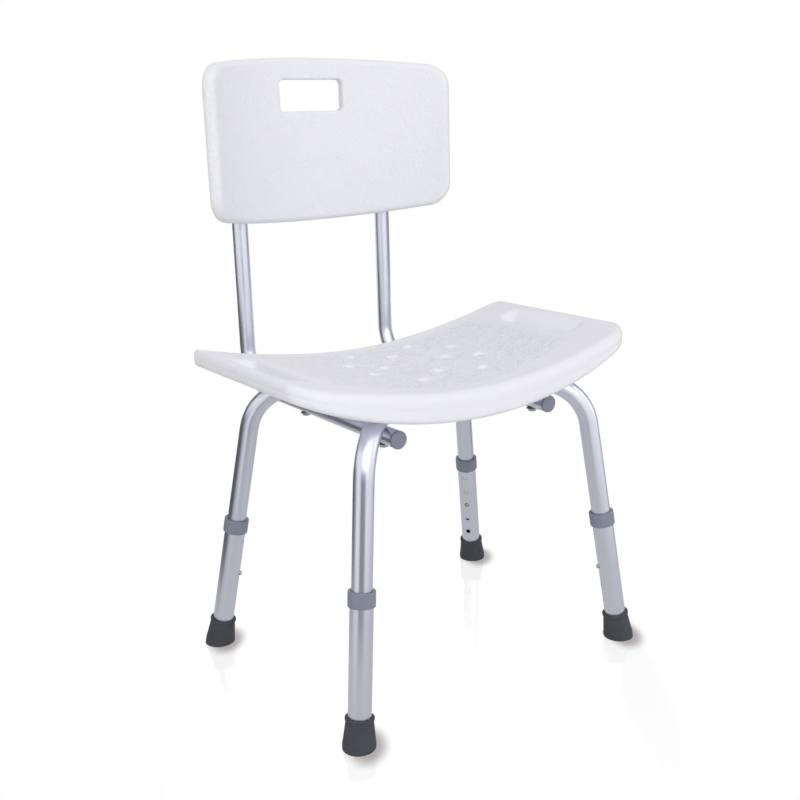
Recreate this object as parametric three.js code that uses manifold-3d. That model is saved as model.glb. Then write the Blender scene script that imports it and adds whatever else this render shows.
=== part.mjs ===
// A height-adjustable shower stool with a back rest.
// Two bent aluminium tubes cross under a hollow moulded seat and carry it on four splayed legs.
// Each leg slides in a lower tube with five holes, and a sprung snap button locks it.
// Two L-shaped tubes run under the crossed tubes and rise behind the seat to hold the back panel.
// Millimetres, +Z up, -Y to the front. The floor is at z = 0.

import * as THREE from 'three';
import { mergeVertices } from 'three/addons/utils/BufferGeometryUtils.js';
import Module from 'manifold-3d';

const wasm = await Module();
wasm.setup();

// Driving dimensions: the stance
const FRONT_FOOT_X = 222;
const REAR_FOOT_X = 235;
const FOOT_Y = 171;
const FRONT_SPLAY_SHARE = 0.155;
const REAR_SPLAY_SHARE = 0.195;

// The crossed frame tubes
const FRAME_HEIGHT = 375.3;
const FRAME_BEND = 70;
const FRAME_OD = 25.4;
const FRAME_WALL = 1.2;
const CROSSING_FLAT = 24;
const CROSSING_FADE = 24;
const CROSSING_SPREAD_SHARE = 0.26;

// The lower legs and their holes
const LEG_OD = 28.6;
const LEG_WALL = 1.2;
const LEG_FLOOR = 8.1;
const LEG_TOP = 188;
const HOLE_PITCH = 25.4;
const HOLE_COUNT = 5;
const HOLE_DIAMETER = 7.2;
const BUTTON_HEIGHT = 110;
const FRAME_TAIL = 27;

// The collars, feet and snap buttons
const COLLAR_OD = 33.6;
const COLLAR_HEIGHT = 19;
const COLLAR_LIP = 3.2;
const COLLAR_CHAMFER = 1.2;
const FOOT_BASE_OD = 41;
const FOOT_NECK_OD = 34;
const FOOT_LIP_OD = 36;
const FOOT_HEIGHT = 37.5;
const FOOT_LIP_HEIGHT = 3.6;
const FOOT_SOLE = 6;
const FOOT_SKIRT = 6;
const FOOT_WASHER = 1.5;
const BUTTON_DIAMETER = 6.4;
const BUTTON_REACH = 2.8;
const BUTTON_DOME = 1.6;
const BUTTON_FLANGE = 8.8;
const BUTTON_FLANGE_HEIGHT = 1.2;
const BUTTON_FLANGE_SEAT = 9;
const CLIP_STRIP = 0.8;
const CLIP_WIDTH = 8;
const CLIP_TAIL = 9;
const CLIP_LENGTH = 40;
const CLIP_BEND = 4;
const CLIP_BACK = 10;

// The back tubes
const BACK_OD = 22.2;
const BACK_WALL = 1.2;
const BACK_X = 121.8;
const BACK_FRONT_END = 125;
const BACK_Y = 246.6;
const BACK_BEND = 55;
const BACK_OVER_SCREW = 23;

// The seat
const SEAT_HALF_LENGTH = 262;
const SEAT_HALF_DEPTH = 142;
const SEAT_FRONT_BOW = 20;
const SEAT_FRONT_CORNER = 34;
const SEAT_REAR_CORNER = 24;
// From the middle line of the frame tubes up to the lowest line of the seat's top
const SEAT_MID_CLIMB = 27.2;
const SEAT_RISE = 38.5;
const SEAT_RISE_POWER = 1.83;
const SEAT_MID_THICKNESS = 38;
const SEAT_END_THICKNESS = 20.5;
const SEAT_TAPER_POWER = 3;
const SEAT_TOP_ROUND = 12;
const SEAT_UNDER_ROUND = 7;
const SEAT_END_ROUND_SHARE = 0.42;
const SEAT_END_DROP_SHARE = 0.8;
const SEAT_WALL = 2.6;
const RECESS_HALF_LENGTH = 168;
const RECESS_HALF_DEPTH = 123;
const RECESS_CORNER = 12;
const DRAIN_DIAMETER = 9;
const DRAIN_OUTER_X = 86;
const DRAIN_OUTER_Y = 30;
const DRAIN_MIDDLE_X = 50;
const DRAIN_CENTRE_Y = 53;
const DRAIN_END_X = 49;
const DRAIN_END_Y = 83;
const POCKET_INNER_X = 202;
const POCKET_OUTER_X = 247;
const POCKET_HALF_LENGTH = 82;
const POCKET_CORNER = 12;
const POCKET_DEPTH = 15;
const POCKET_INNER_SLOPE = 3;
const POCKET_OUTER_SLOPE = 19;
const POCKET_END_SLOPE = 22;
const POCKET_FLOOR_CORNER = 5;
const BOSS_DIAMETER = 17;
const VENT_DIAMETER = 6;

// The back panel
const PANEL_RADIUS = 268;
const PANEL_HALF_WIDTH = 189;
const PANEL_OVER_SEAT = 192.2;
const PANEL_HEIGHT = 196.1;
const PANEL_TOP_ARCH = 14.4;
const PANEL_BOTTOM_ARCH = 17.7;
const PANEL_CORNER = 29;
const PANEL_THICKNESS = 18;
const PANEL_ROUND = 7;
const PANEL_WALL = 2.4;
const SLOT_HALF_WIDTH = 53;
const SLOT_UNDER_TOP = 15.5;
const SLOT_HEIGHT = 43.3;
const SLOT_CORNER = 7;
const PANEL_SCREW_INSET = 45.3;
const PANEL_SCREW_SPACING = 95;
const PANEL_BOSS_DIAMETER = 20;
const PANEL_BOSS_LENGTH = 4.5;

// Fasteners
const BOLT_DIAMETER = 6;
const BOLT_HOLE = 6.8;
const BOLT_HEAD_ACROSS = 10;
const BOLT_HEAD_HEIGHT = 3;
const WASHER_OD = 16;
const WASHER_THICKNESS = 1;
const INSERT_OD = 9.6;
const INSERT_LENGTH = 12;
const SCREW_DIAMETER = 5;
const SCREW_HOLE = 5.8;
const SCREW_HEAD = 11;
const SCREW_HEAD_HEIGHT = 3.2;
const PANEL_INSERT_OD = 8;
const PANEL_INSERT_LENGTH = 11;
const RIVET_DIAMETER = 6;
const RIVET_HEAD = 12;
const RIVET_HEAD_HEIGHT = 2;
const RIVET_ROOM = 1.2;

// The plugs in the back tubes' ends
const PLUG_CAP = 4;
const PLUG_STEM = 14;
const PLUG_EDGE = 1.2;

// Clearances
const GAP = 0.3;
const OVERRUN = 5;

// Counts of facets
const TUBE_SIDES = 16;
const FOOT_SIDES = 20;
const PIN_SIDES = 12;
const HOLE_SIDES = 10;
const HEX_SIDES = 6;
const BEND_STEPS = 6;
const ROUND_STEPS = 3;
const HOLLOW_STEPS = 1;

const group = new THREE.Group();

const aluminium = new THREE.MeshStandardMaterial({ color: 0xc3c6cb, roughness: 0.32, metalness: 0.9 });
const whitePlastic = new THREE.MeshStandardMaterial({ color: 0xf1f2f4, roughness: 0.5, metalness: 0 });
const greyPlastic = new THREE.MeshStandardMaterial({ color: 0x7f8791, roughness: 0.5, metalness: 0 });
const slateRubber = new THREE.MeshStandardMaterial({ color: 0x4c5158, roughness: 0.8, metalness: 0 });
const steel = new THREE.MeshStandardMaterial({ color: 0xb9b4ac, roughness: 0.3, metalness: 1 });
const brass = new THREE.MeshStandardMaterial({ color: 0xb5935a, roughness: 0.4, metalness: 1 });

// Turns a closed geometry into a solid, with its doubled vertices merged and its faces outwards
function solid(geometry) {
  geometry.deleteAttribute('normal');
  geometry.deleteAttribute('uv');
  const merged = mergeVertices(geometry);
  const spots = merged.getAttribute('position');
  const corners = [];
  const a = new THREE.Vector3();
  const b = new THREE.Vector3();
  const c = new THREE.Vector3();
  let volume = 0;
  for (let i = 0; i < merged.index.count; i += 3) {
    const [p, q, r] = [0, 1, 2].map((k) => merged.index.getX(i + k));
    if (p === q || q === r || r === p) continue;
    a.fromBufferAttribute(spots, p);
    b.fromBufferAttribute(spots, q);
    c.fromBufferAttribute(spots, r);
    volume += a.dot(b.cross(c));
    corners.push(p, q, r);
  }
  if (volume < 0) corners.reverse();
  const vertProperties = new Float32Array(spots.array);
  const triVerts = new Uint32Array(corners);
  return new wasm.Manifold(new wasm.Mesh({ numProp: 3, vertProperties, triVerts }));
}

// Turns a solid back into a geometry
function geometryOf(body) {
  const mesh = body.getMesh();
  const geometry = new THREE.BufferGeometry();
  geometry.setAttribute('position', new THREE.BufferAttribute(mesh.vertProperties, mesh.numProp));
  geometry.setIndex(new THREE.BufferAttribute(mesh.triVerts, 1));
  const flat = geometry.toNonIndexed();
  flat.computeVertexNormals();
  return flat;
}

function place(parent, name, body, material) {
  const mesh = new THREE.Mesh(geometryOf(body), material);
  mesh.name = name;
  parent.add(mesh);
  return mesh;
}

// A solid of revolution about Z from [radius, height] points, closed on itself or on the axis
function turned(points, sides) {
  const outline = points.map(([r, z]) => new THREE.Vector2(r, z));
  if (points[0][0] !== 0) outline.push(outline[0].clone());
  return solid(new THREE.LatheGeometry(outline, sides).rotateX(Math.PI / 2));
}

// A tube or rod about Z between two heights
function sleeve(outer, inner, low, high, sides = TUBE_SIDES) {
  return turned([[inner / 2, low], [outer / 2, low], [outer / 2, high], [inner / 2, high]], sides);
}

function rod(diameter, low, high, sides = TUBE_SIDES) {
  return turned([[0, low], [diameter / 2, low], [diameter / 2, high], [0, high]], sides);
}

// Stands a body that was made about Z on another place and direction
function aim(body, origin, direction) {
  const turn = new THREE.Quaternion().setFromUnitVectors(new THREE.Vector3(0, 0, 1), direction);
  const matrix = new THREE.Matrix4().compose(origin, turn, new THREE.Vector3(1, 1, 1));
  return body.transform(matrix.elements);
}

// A path of straight runs and arcs whose steps fall only on the chosen stations
class StationPath extends THREE.Curve {
  constructor(points, tangents) {
    super();
    this.points = points;
    this.tangents = tangents;
  }

  spot(t) {
    const last = this.points.length - 1;
    const k = Math.min(Math.floor(t * last + Number.EPSILON * last), last - 1);
    return [k, t * last - k];
  }

  getPoint(t, target = new THREE.Vector3()) {
    const [k, share] = this.spot(t);
    return target.lerpVectors(this.points[k], this.points[k + 1], share);
  }

  getTangent(t, target = new THREE.Vector3()) {
    const k = Math.round(t * (this.points.length - 1));
    return target.copy(this.tangents[k]);
  }

  getUtoTmapping(u) {
    return u;
  }
}

// A hollow round tube along a station path
function tubeAlong(path, outer, wall) {
  const section = new THREE.Shape();
  section.absarc(0, 0, outer / 2, 0, Math.PI * 2);
  const bore = new THREE.Path();
  bore.absarc(0, 0, outer / 2 - wall, 0, Math.PI * 2, true);
  section.holes.push(bore);
  const options = { steps: path.points.length - 1, curveSegments: TUBE_SIDES / 2, extrudePath: path };
  return new THREE.ExtrudeGeometry(section, options);
}

// The points of a rounded rectangle, from its +X side round by +Y, with a corner size for each of +Y and -Y
function roundedOutline(left, right, low, high, highCorner, lowCorner, longSteps, shortSteps) {
  const points = [];
  const centres = [[right - highCorner, high - highCorner, highCorner]];
  centres.push([left + highCorner, high - highCorner, highCorner]);
  centres.push([left + lowCorner, low + lowCorner, lowCorner]);
  centres.push([right - lowCorner, low + lowCorner, lowCorner]);
  centres.forEach(([x, y, corner], k) => {
    for (let i = 0; i <= ROUND_STEPS; i += 1) {
      const angle = (k + i / ROUND_STEPS) * Math.PI / 2;
      points.push([x + corner * Math.cos(angle), y + corner * Math.sin(angle)]);
    }
    const start = points[points.length - 1];
    const [nextX, nextY, nextCorner] = centres[(k + 1) % centres.length];
    const turn = (k + 1) * Math.PI / 2;
    const end = [nextX + nextCorner * Math.cos(turn), nextY + nextCorner * Math.sin(turn)];
    const steps = k % 2 === 0 ? longSteps : shortSteps;
    for (let i = 1; i < steps; i += 1) {
      const share = i / steps;
      points.push([start[0] + (end[0] - start[0]) * share, start[1] + (end[1] - start[1]) * share]);
    }
  });
  return points;
}

// Skins a stack of closed rings of equal length, each end drawn in to its own middle point
function skin(rings, firstMiddle, lastMiddle) {
  const vertices = [firstMiddle, ...rings.flat(), lastMiddle];
  const count = rings[0].length;
  const faces = [];
  const at = (ring, i) => 1 + ring * count + (i % count);
  for (let i = 0; i < count; i += 1) {
    faces.push(0, at(0, i + 1), at(0, i));
    for (let ring = 0; ring + 1 < rings.length; ring += 1) {
      faces.push(at(ring, i), at(ring, i + 1), at(ring + 1, i + 1));
      faces.push(at(ring, i), at(ring + 1, i + 1), at(ring + 1, i));
    }
    faces.push(vertices.length - 1, at(rings.length - 1, i), at(rings.length - 1, i + 1));
  }
  const geometry = new THREE.BufferGeometry();
  geometry.setAttribute('position', new THREE.Float32BufferAttribute(vertices.flat(), 3));
  geometry.setIndex(faces);
  return solid(geometry);
}

// A straight-sided block with a rounded outline in X and Y, between two heights
function block(left, right, front, rear, corner, low, high) {
  const outline = roundedOutline(left, right, front, rear, corner, corner, 1, 1);
  const points = outline.map(([x, y]) => new THREE.Vector2(x, y));
  const options = { depth: high - low, bevelEnabled: false };
  return solid(new THREE.ExtrudeGeometry(new THREE.Shape(points), options).translate(0, 0, low));
}

// The legs. Each foot's place, its plan direction towards the diagonal one, and its splay
const feet = {
  front_left: { x: -FRONT_FOOT_X, y: -FOOT_Y, splay: FRONT_SPLAY_SHARE, across: 'rear_right' },
  front_right: { x: FRONT_FOOT_X, y: -FOOT_Y, splay: FRONT_SPLAY_SHARE, across: 'rear_left' },
  rear_left: { x: -REAR_FOOT_X, y: FOOT_Y, splay: REAR_SPLAY_SHARE, across: 'front_right' },
  rear_right: { x: REAR_FOOT_X, y: FOOT_Y, splay: REAR_SPLAY_SHARE, across: 'front_left' },
};

const up = new THREE.Vector3(0, 0, 1);

for (const leg of Object.values(feet)) {
  leg.floor = new THREE.Vector3(leg.x, leg.y, 0);
}
for (const leg of Object.values(feet)) {
  leg.inward = feet[leg.across].floor.clone().sub(leg.floor).normalize();
  leg.axis = leg.inward.clone().multiplyScalar(leg.splay).add(up).normalize();
  leg.side = leg.inward.clone().sub(up.clone().multiplyScalar(leg.splay)).normalize();
  leg.angle = Math.atan(leg.splay);
}

const diagonalPlan = feet.front_right.inward;
const crossing = new THREE.Vector3();
crossing.y = feet.front_right.y - feet.front_right.x * diagonalPlan.y / diagonalPlan.x;
crossing.z = FRAME_HEIGHT;

// Where the back tube passes under a frame tube, seen in plan
function tubeCrossing(leg) {
  const x = Math.sign(leg.x) * BACK_X;
  const y = leg.y + (x - leg.x) * leg.inward.y / leg.inward.x;
  return new THREE.Vector3(x, y, 0);
}

// The bend at the top of one leg, as points and tangents from the leg up to the level run
function bend(leg) {
  const middleZ = FRAME_HEIGHT - FRAME_BEND;
  const middleS = leg.splay * middleZ + FRAME_BEND * Math.hypot(1, leg.splay);
  const middle = leg.floor.clone().addScaledVector(leg.inward, middleS).addScaledVector(up, middleZ);
  const points = [];
  const tangents = [];
  for (let i = 0; i <= BEND_STEPS; i += 1) {
    const angle = leg.angle + (Math.PI / 2 - leg.angle) * i / BEND_STEPS;
    const point = middle.clone();
    point.addScaledVector(leg.inward, -FRAME_BEND * Math.cos(angle));
    point.addScaledVector(up, FRAME_BEND * Math.sin(angle));
    const tangent = leg.inward.clone().multiplyScalar(Math.sin(angle));
    tangent.addScaledVector(up, Math.cos(angle));
    points.push(point);
    tangents.push(tangent);
  }
  return { points, tangents };
}

// Flattens a frame tube to half its height where the two cross, one above the other
const flatHeight = (FRAME_OD - GAP) / 2;

function pressCrossing(geometry, along, lift) {
  const spots = geometry.getAttribute('position');
  const across = new THREE.Vector3().crossVectors(up, along);
  const point = new THREE.Vector3();
  for (let i = 0; i < spots.count; i += 1) {
    point.fromBufferAttribute(spots, i).sub(crossing);
    const reach = Math.max(Math.abs(point.dot(along)) - CROSSING_FLAT, 0) / CROSSING_FADE;
    const share = 1 - THREE.MathUtils.smoothstep(reach, 0, 1);
    const sideways = point.dot(across);
    point.addScaledVector(across, sideways * CROSSING_SPREAD_SHARE * share);
    point.z = point.z * (1 - (1 - flatHeight / FRAME_OD) * share) + lift * share;
    point.add(crossing);
    spots.setXYZ(i, point.x, point.y, point.z);
  }
  return geometry;
}

function frameTube(front, rear, lift) {
  const tail = BUTTON_HEIGHT - FRAME_TAIL;
  const rise = bend(front);
  const fall = bend(rear);
  const points = [front.floor.clone().addScaledVector(front.axis, tail), ...rise.points];
  const tangents = [front.axis.clone(), ...rise.tangents];
  const fadeShares = [1, 1 / 2, 0];
  const stations = fadeShares.map((share) => -CROSSING_FLAT - CROSSING_FADE * share);
  stations.push(...fadeShares.map((share) => CROSSING_FLAT + CROSSING_FADE * share).reverse());
  for (const station of stations) {
    points.push(crossing.clone().addScaledVector(front.inward, station));
    tangents.push(front.inward.clone());
  }
  points.push(...fall.points.reverse(), rear.floor.clone().addScaledVector(rear.axis, tail));
  tangents.push(...fall.tangents.reverse().map((tangent) => tangent.negate()));
  tangents.push(rear.axis.clone().negate());
  const path = new StationPath(points, tangents);
  let tube = solid(pressCrossing(tubeAlong(path, FRAME_OD, FRAME_WALL), front.inward, lift));
  for (const leg of [front, rear]) {
    const spot = tubeCrossing(leg);
    tube = tube.subtract(aim(rod(BOLT_HOLE, 0, FRAME_HEIGHT + FRAME_OD, HOLE_SIDES), spot, up));
    const button = leg.floor.clone().addScaledVector(leg.axis, BUTTON_HEIGHT);
    tube = tube.subtract(aim(rod(HOLE_DIAMETER, 0, FRAME_OD, HOLE_SIDES), button, leg.side));
  }
  return tube.subtract(aim(rod(RIVET_DIAMETER + GAP * 2, -FRAME_OD, FRAME_OD, HOLE_SIDES), crossing, up));
}

function frame() {
  const lift = (flatHeight + GAP) / 2;
  const overTube = frameTube(feet.front_right, feet.rear_left, lift);
  const underTube = frameTube(feet.front_left, feet.rear_right, -lift);
  place(group, 'frame_tube_over', overTube, aluminium);
  place(group, 'frame_tube_under', underTube, aluminium);
  const reach = FRAME_OD / 2 + GAP;
  const headEdge = RIVET_HEAD / 2 - RIVET_HEAD_HEIGHT / 2;
  const profile = [[0, -reach - RIVET_HEAD_HEIGHT], [headEdge, -reach - RIVET_HEAD_HEIGHT]];
  profile.push([RIVET_HEAD / 2, -reach], [RIVET_DIAMETER / 2, -reach], [RIVET_DIAMETER / 2, reach]);
  profile.push([RIVET_HEAD / 2, reach], [headEdge, reach + RIVET_HEAD_HEIGHT]);
  profile.push([0, reach + RIVET_HEAD_HEIGHT]);
  place(group, 'centre_rivet', aim(turned(profile, PIN_SIDES), crossing, up), steel);
}

// The lower leg: the tube with its holes, the collar on its top, the foot and the washer in it
function lowerTube() {
  let tube = sleeve(LEG_OD, LEG_OD - LEG_WALL * 2, LEG_FLOOR, LEG_TOP);
  const inwards = new THREE.Vector3(1, 0, 0);
  for (let i = 0; i < HOLE_COUNT; i += 1) {
    const height = BUTTON_HEIGHT + (i - (HOLE_COUNT - 1) / 2) * HOLE_PITCH;
    const cutter = rod(HOLE_DIAMETER, 0, LEG_OD, PIN_SIDES);
    tube = tube.subtract(aim(cutter, new THREE.Vector3(0, 0, height), inwards));
  }
  return tube;
}

function collar() {
  const top = LEG_TOP + GAP + COLLAR_LIP;
  const low = top - COLLAR_HEIGHT;
  const skirtBore = LEG_OD / 2 + GAP;
  const lipBore = FRAME_OD / 2 + GAP;
  const outer = COLLAR_OD / 2;
  const profile = [[skirtBore, low], [outer - COLLAR_CHAMFER / 2, low], [outer, low + COLLAR_CHAMFER]];
  profile.push([outer, top - COLLAR_CHAMFER], [outer - COLLAR_CHAMFER, top], [lipBore, top]);
  profile.push([lipBore, LEG_TOP + GAP], [skirtBore, LEG_TOP + GAP]);
  return turned(profile, TUBE_SIDES);
}

function foot(leg) {
  const bore = LEG_OD / 2 + GAP;
  const base = FOOT_BASE_OD / 2;
  const lip = FOOT_HEIGHT - FOOT_LIP_HEIGHT;
  const profile = [[0, FOOT_SOLE], [bore, FOOT_SOLE], [bore, FOOT_HEIGHT]];
  profile.push([FOOT_LIP_OD / 2 - FOOT_LIP_HEIGHT / 4, FOOT_HEIGHT]);
  profile.push([FOOT_LIP_OD / 2, FOOT_HEIGHT - FOOT_LIP_HEIGHT / 4], [FOOT_LIP_OD / 2, lip]);
  profile.push([FOOT_NECK_OD / 2, lip - FOOT_LIP_HEIGHT / 4], [base, FOOT_SKIRT], [base, -FOOT_SKIRT]);
  profile.push([0, -FOOT_SKIRT]);
  const whole = turned(profile, FOOT_SIDES);
  const slab = new THREE.BoxGeometry(FOOT_BASE_OD * 2, FOOT_BASE_OD * 2, FOOT_BASE_OD);
  slab.translate(0, 0, -FOOT_BASE_OD / 2);
  const floorTilt = new THREE.Matrix4().makeRotationY(-leg.angle);
  return whole.subtract(solid(slab).transform(floorTilt.elements));
}

// The snap button: a domed pin with a flange that stays inside the frame tube
function snapButton() {
  const tip = LEG_OD / 2 + BUTTON_REACH;
  const pin = BUTTON_DIAMETER / 2;
  const flangeTop = BUTTON_FLANGE_SEAT + BUTTON_FLANGE_HEIGHT;
  const profile = [[0, BUTTON_FLANGE_SEAT], [BUTTON_FLANGE / 2, BUTTON_FLANGE_SEAT]];
  profile.push([BUTTON_FLANGE / 2, flangeTop], [pin, flangeTop]);
  for (let i = 0; i < ROUND_STEPS; i += 1) {
    const angle = Math.PI / 2 * i / ROUND_STEPS;
    profile.push([pin * Math.cos(angle), tip - BUTTON_DOME * (1 - Math.sin(angle))]);
  }
  profile.push([0, tip]);
  const body = turned(profile, PIN_SIDES);
  return aim(body, new THREE.Vector3(0, 0, BUTTON_HEIGHT), new THREE.Vector3(1, 0, 0));
}

// The leaf spring that pushes the button out: one bent strip inside the frame tube
function snapClip() {
  const front = BUTTON_FLANGE_SEAT - GAP - CLIP_STRIP / 2;
  const top = BUTTON_HEIGHT + CLIP_LENGTH;
  const line = [[front, BUTTON_HEIGHT - CLIP_TAIL], [front, BUTTON_HEIGHT + CLIP_TAIL], [CLIP_BEND, top]];
  for (let i = 1; i < ROUND_STEPS * 2; i += 1) {
    const angle = Math.PI * i / (ROUND_STEPS * 2);
    line.push([CLIP_BEND * Math.cos(angle), top + CLIP_BEND * Math.sin(angle)]);
  }
  line.push([-CLIP_BEND, top], [-CLIP_BACK, BUTTON_HEIGHT - CLIP_TAIL]);
  const sides = [1, -1].map((hand) => line.map(([x, z], i) => {
    const [before, after] = [line[Math.max(i - 1, 0)], line[Math.min(i + 1, line.length - 1)]];
    const run = new THREE.Vector2(after[0] - before[0], after[1] - before[1]).normalize();
    return new THREE.Vector2(x - hand * run.y * CLIP_STRIP / 2, z + hand * run.x * CLIP_STRIP / 2);
  }));
  const outline = new THREE.Shape([...sides[0], ...sides[1].reverse()]);
  const strip = new THREE.ExtrudeGeometry(outline, { depth: CLIP_WIDTH, bevelEnabled: false });
  strip.translate(0, 0, -CLIP_WIDTH / 2);
  return solid(strip.rotateX(Math.PI / 2));
}

function lowerLegs() {
  for (const [name, leg] of Object.entries(feet)) {
    const lower = new THREE.Group();
    lower.position.copy(leg.floor);
    const depth = new THREE.Vector3().crossVectors(leg.axis, leg.side);
    lower.quaternion.setFromRotationMatrix(new THREE.Matrix4().makeBasis(leg.side, depth, leg.axis));
    place(lower, `leg_tube_${name}`, lowerTube(), aluminium);
    place(lower, `collar_${name}`, collar(), greyPlastic);
    place(lower, `foot_${name}`, foot(leg), slateRubber);
    const washerLow = FOOT_SOLE + GAP;
    const washer = rod(LEG_OD - LEG_WALL, washerLow, washerLow + FOOT_WASHER);
    place(lower, `foot_washer_${name}`, washer, steel);
    place(lower, `snap_button_${name}`, snapButton(), steel);
    place(lower, `snap_clip_${name}`, snapClip(), steel);
    group.add(lower);
  }
}

// The seat stands on the frame tubes, the panel over the seat, and the back tubes end above its screws
const seatMidHeight = FRAME_HEIGHT + SEAT_MID_CLIMB;
const panelBottom = seatMidHeight + PANEL_OVER_SEAT;
const panelTop = panelBottom + PANEL_HEIGHT;
const slotBottom = panelTop - SLOT_UNDER_TOP - SLOT_HEIGHT;
const screwHeights = { low: panelBottom + PANEL_SCREW_INSET };
screwHeights.high = screwHeights.low + PANEL_SCREW_SPACING;
const backTop = screwHeights.high + BACK_OVER_SCREW;

// The back tubes: level under the frame, then bent up behind the seat
const backLevel = FRAME_HEIGHT - FRAME_OD / 2 - GAP - BACK_OD / 2;
const tubeFace = BACK_OD / 2 + GAP;
const rearward = new THREE.Vector3(0, 1, 0);

function backTube(x) {
  const middle = new THREE.Vector3(x, BACK_Y - BACK_BEND, backLevel + BACK_BEND);
  const points = [new THREE.Vector3(x, -BACK_FRONT_END, backLevel)];
  const tangents = [rearward.clone()];
  for (let i = 0; i <= BEND_STEPS; i += 1) {
    const angle = Math.PI / 2 * i / BEND_STEPS;
    const point = middle.clone().addScaledVector(rearward, BACK_BEND * Math.sin(angle));
    points.push(point.addScaledVector(up, -BACK_BEND * Math.cos(angle)));
    tangents.push(rearward.clone().multiplyScalar(Math.cos(angle)).addScaledVector(up, Math.sin(angle)));
  }
  points.push(new THREE.Vector3(x, BACK_Y, backTop));
  tangents.push(up.clone());
  let tube = solid(tubeAlong(new StationPath(points, tangents), BACK_OD, BACK_WALL));
  for (const leg of Object.values(feet).filter((spot) => Math.sign(spot.x) === Math.sign(x))) {
    tube = tube.subtract(aim(rod(BOLT_HOLE, 0, FRAME_HEIGHT, HOLE_SIDES), tubeCrossing(leg), up));
  }
  for (const height of Object.values(screwHeights)) {
    const spot = new THREE.Vector3(x, BACK_Y, height);
    tube = tube.subtract(aim(rod(SCREW_HOLE, -BACK_OD, BACK_OD, HOLE_SIDES), spot, rearward));
  }
  return tube;
}

function plug() {
  const cap = BACK_OD / 2 + GAP;
  const stem = BACK_OD / 2 - BACK_WALL - GAP;
  const profile = [[0, -PLUG_STEM], [stem - PLUG_EDGE, -PLUG_STEM], [stem, PLUG_EDGE - PLUG_STEM]];
  profile.push([stem, GAP], [cap, GAP], [cap, PLUG_CAP - PLUG_EDGE], [cap - PLUG_EDGE, PLUG_CAP]);
  profile.push([0, PLUG_CAP]);
  return turned(profile, TUBE_SIDES);
}

const sides = { left: -1, right: 1 };

function backTubes() {
  for (const [name, hand] of Object.entries(sides)) {
    const x = hand * BACK_X;
    place(group, `back_tube_${name}`, backTube(x), aluminium);
    const frontEnd = new THREE.Vector3(x, -BACK_FRONT_END, backLevel);
    const topEnd = new THREE.Vector3(x, BACK_Y, backTop);
    place(group, `front_plug_${name}`, aim(plug(), frontEnd, rearward.clone().negate()), greyPlastic);
    place(group, `top_plug_${name}`, aim(plug(), topEnd, up), greyPlastic);
  }
}

// The seat: a saddle that rises to both ends, hollow, with drain holes and two grip pockets
const recessTop = FRAME_HEIGHT + FRAME_OD / 2 + GAP;

function seatTop(x) {
  return seatMidHeight + SEAT_RISE * Math.abs(x / SEAT_HALF_LENGTH) ** SEAT_RISE_POWER;
}

function seatThickness(x) {
  const share = Math.abs(x / SEAT_HALF_LENGTH) ** SEAT_TAPER_POWER;
  return THREE.MathUtils.lerp(SEAT_MID_THICKNESS, SEAT_END_THICKNESS, share);
}

// One ring round the seat, at a depth below its top face or, with side 1, below its underside
function seatRing(inset, offset, side, wall, scale = 1) {
  const length = SEAT_HALF_LENGTH - wall - (inset - wall) * SEAT_END_ROUND_SHARE;
  const depth = SEAT_HALF_DEPTH - inset;
  const [rearCorner, frontCorner] = [SEAT_REAR_CORNER - inset, SEAT_FRONT_CORNER - inset];
  const outline = roundedOutline(-length, length, -depth, depth, rearCorner, frontCorner, 12, 5);
  return outline.map(([x, y]) => {
    const bow = Math.min(y / depth, 0) * SEAT_FRONT_BOW * (1 - (x / length) ** 2);
    const endShare = Math.abs(x * scale / SEAT_HALF_LENGTH) ** SEAT_TAPER_POWER;
    const easing = THREE.MathUtils.lerp(1, SEAT_END_DROP_SHARE, endShare);
    const drop = wall + (Math.abs(offset) - wall) * easing;
    const height = seatTop(x * scale) - side * seatThickness(x * scale) - Math.sign(offset) * drop;
    return [x * scale, (y + bow) * scale, height];
  });
}

// Rounds the edge of a moulding with insets and depths, first off its face (side 0), then its back (side 1)
function edgeProfile(faceRound, otherRound, wall) {
  const profile = [];
  const steps = wall === 0 ? ROUND_STEPS : HOLLOW_STEPS;
  for (let i = 0; i <= steps; i += 1) {
    const angle = Math.PI / 2 * i / steps;
    const round = faceRound - wall;
    profile.push([wall + round * (1 - Math.sin(angle)), wall + round * (1 - Math.cos(angle)), 0]);
  }
  for (let i = 0; i <= steps; i += 1) {
    const angle = Math.PI / 2 * i / steps;
    const round = otherRound - wall;
    profile.push([wall + round * (1 - Math.cos(angle)), -wall - round * (1 - Math.sin(angle)), 1]);
  }
  return profile;
}

const faceShares = [0.35, 0.7];

function seatSkin(wall) {
  const rings = faceShares.map((share) => seatRing(SEAT_TOP_ROUND, wall, 0, wall, share));
  const profile = edgeProfile(SEAT_TOP_ROUND, SEAT_UNDER_ROUND, wall);
  rings.push(...profile.map(([inset, offset, side]) => seatRing(inset, offset, side, wall)));
  rings.push(...faceShares.toReversed().map((share) => seatRing(SEAT_UNDER_ROUND, -wall, 1, wall, share)));
  const underside = seatMidHeight - SEAT_MID_THICKNESS;
  return skin(rings, [0, 0, seatMidHeight - wall], [0, 0, underside + wall]);
}

function seatRecess(wall) {
  const [length, depth] = [RECESS_HALF_LENGTH + wall, RECESS_HALF_DEPTH + wall];
  const low = seatMidHeight - SEAT_MID_THICKNESS - OVERRUN;
  const recess = block(-length, length, -depth, depth, RECESS_CORNER + wall, low, recessTop + wall);
  const headRoom = RIVET_HEAD_HEIGHT + GAP;
  const dimple = rod(RIVET_HEAD + RIVET_ROOM + wall * 2, 0, recessTop + headRoom + wall);
  return recess.add(aim(dimple, new THREE.Vector3(0, crossing.y, 0), up));
}

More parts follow.
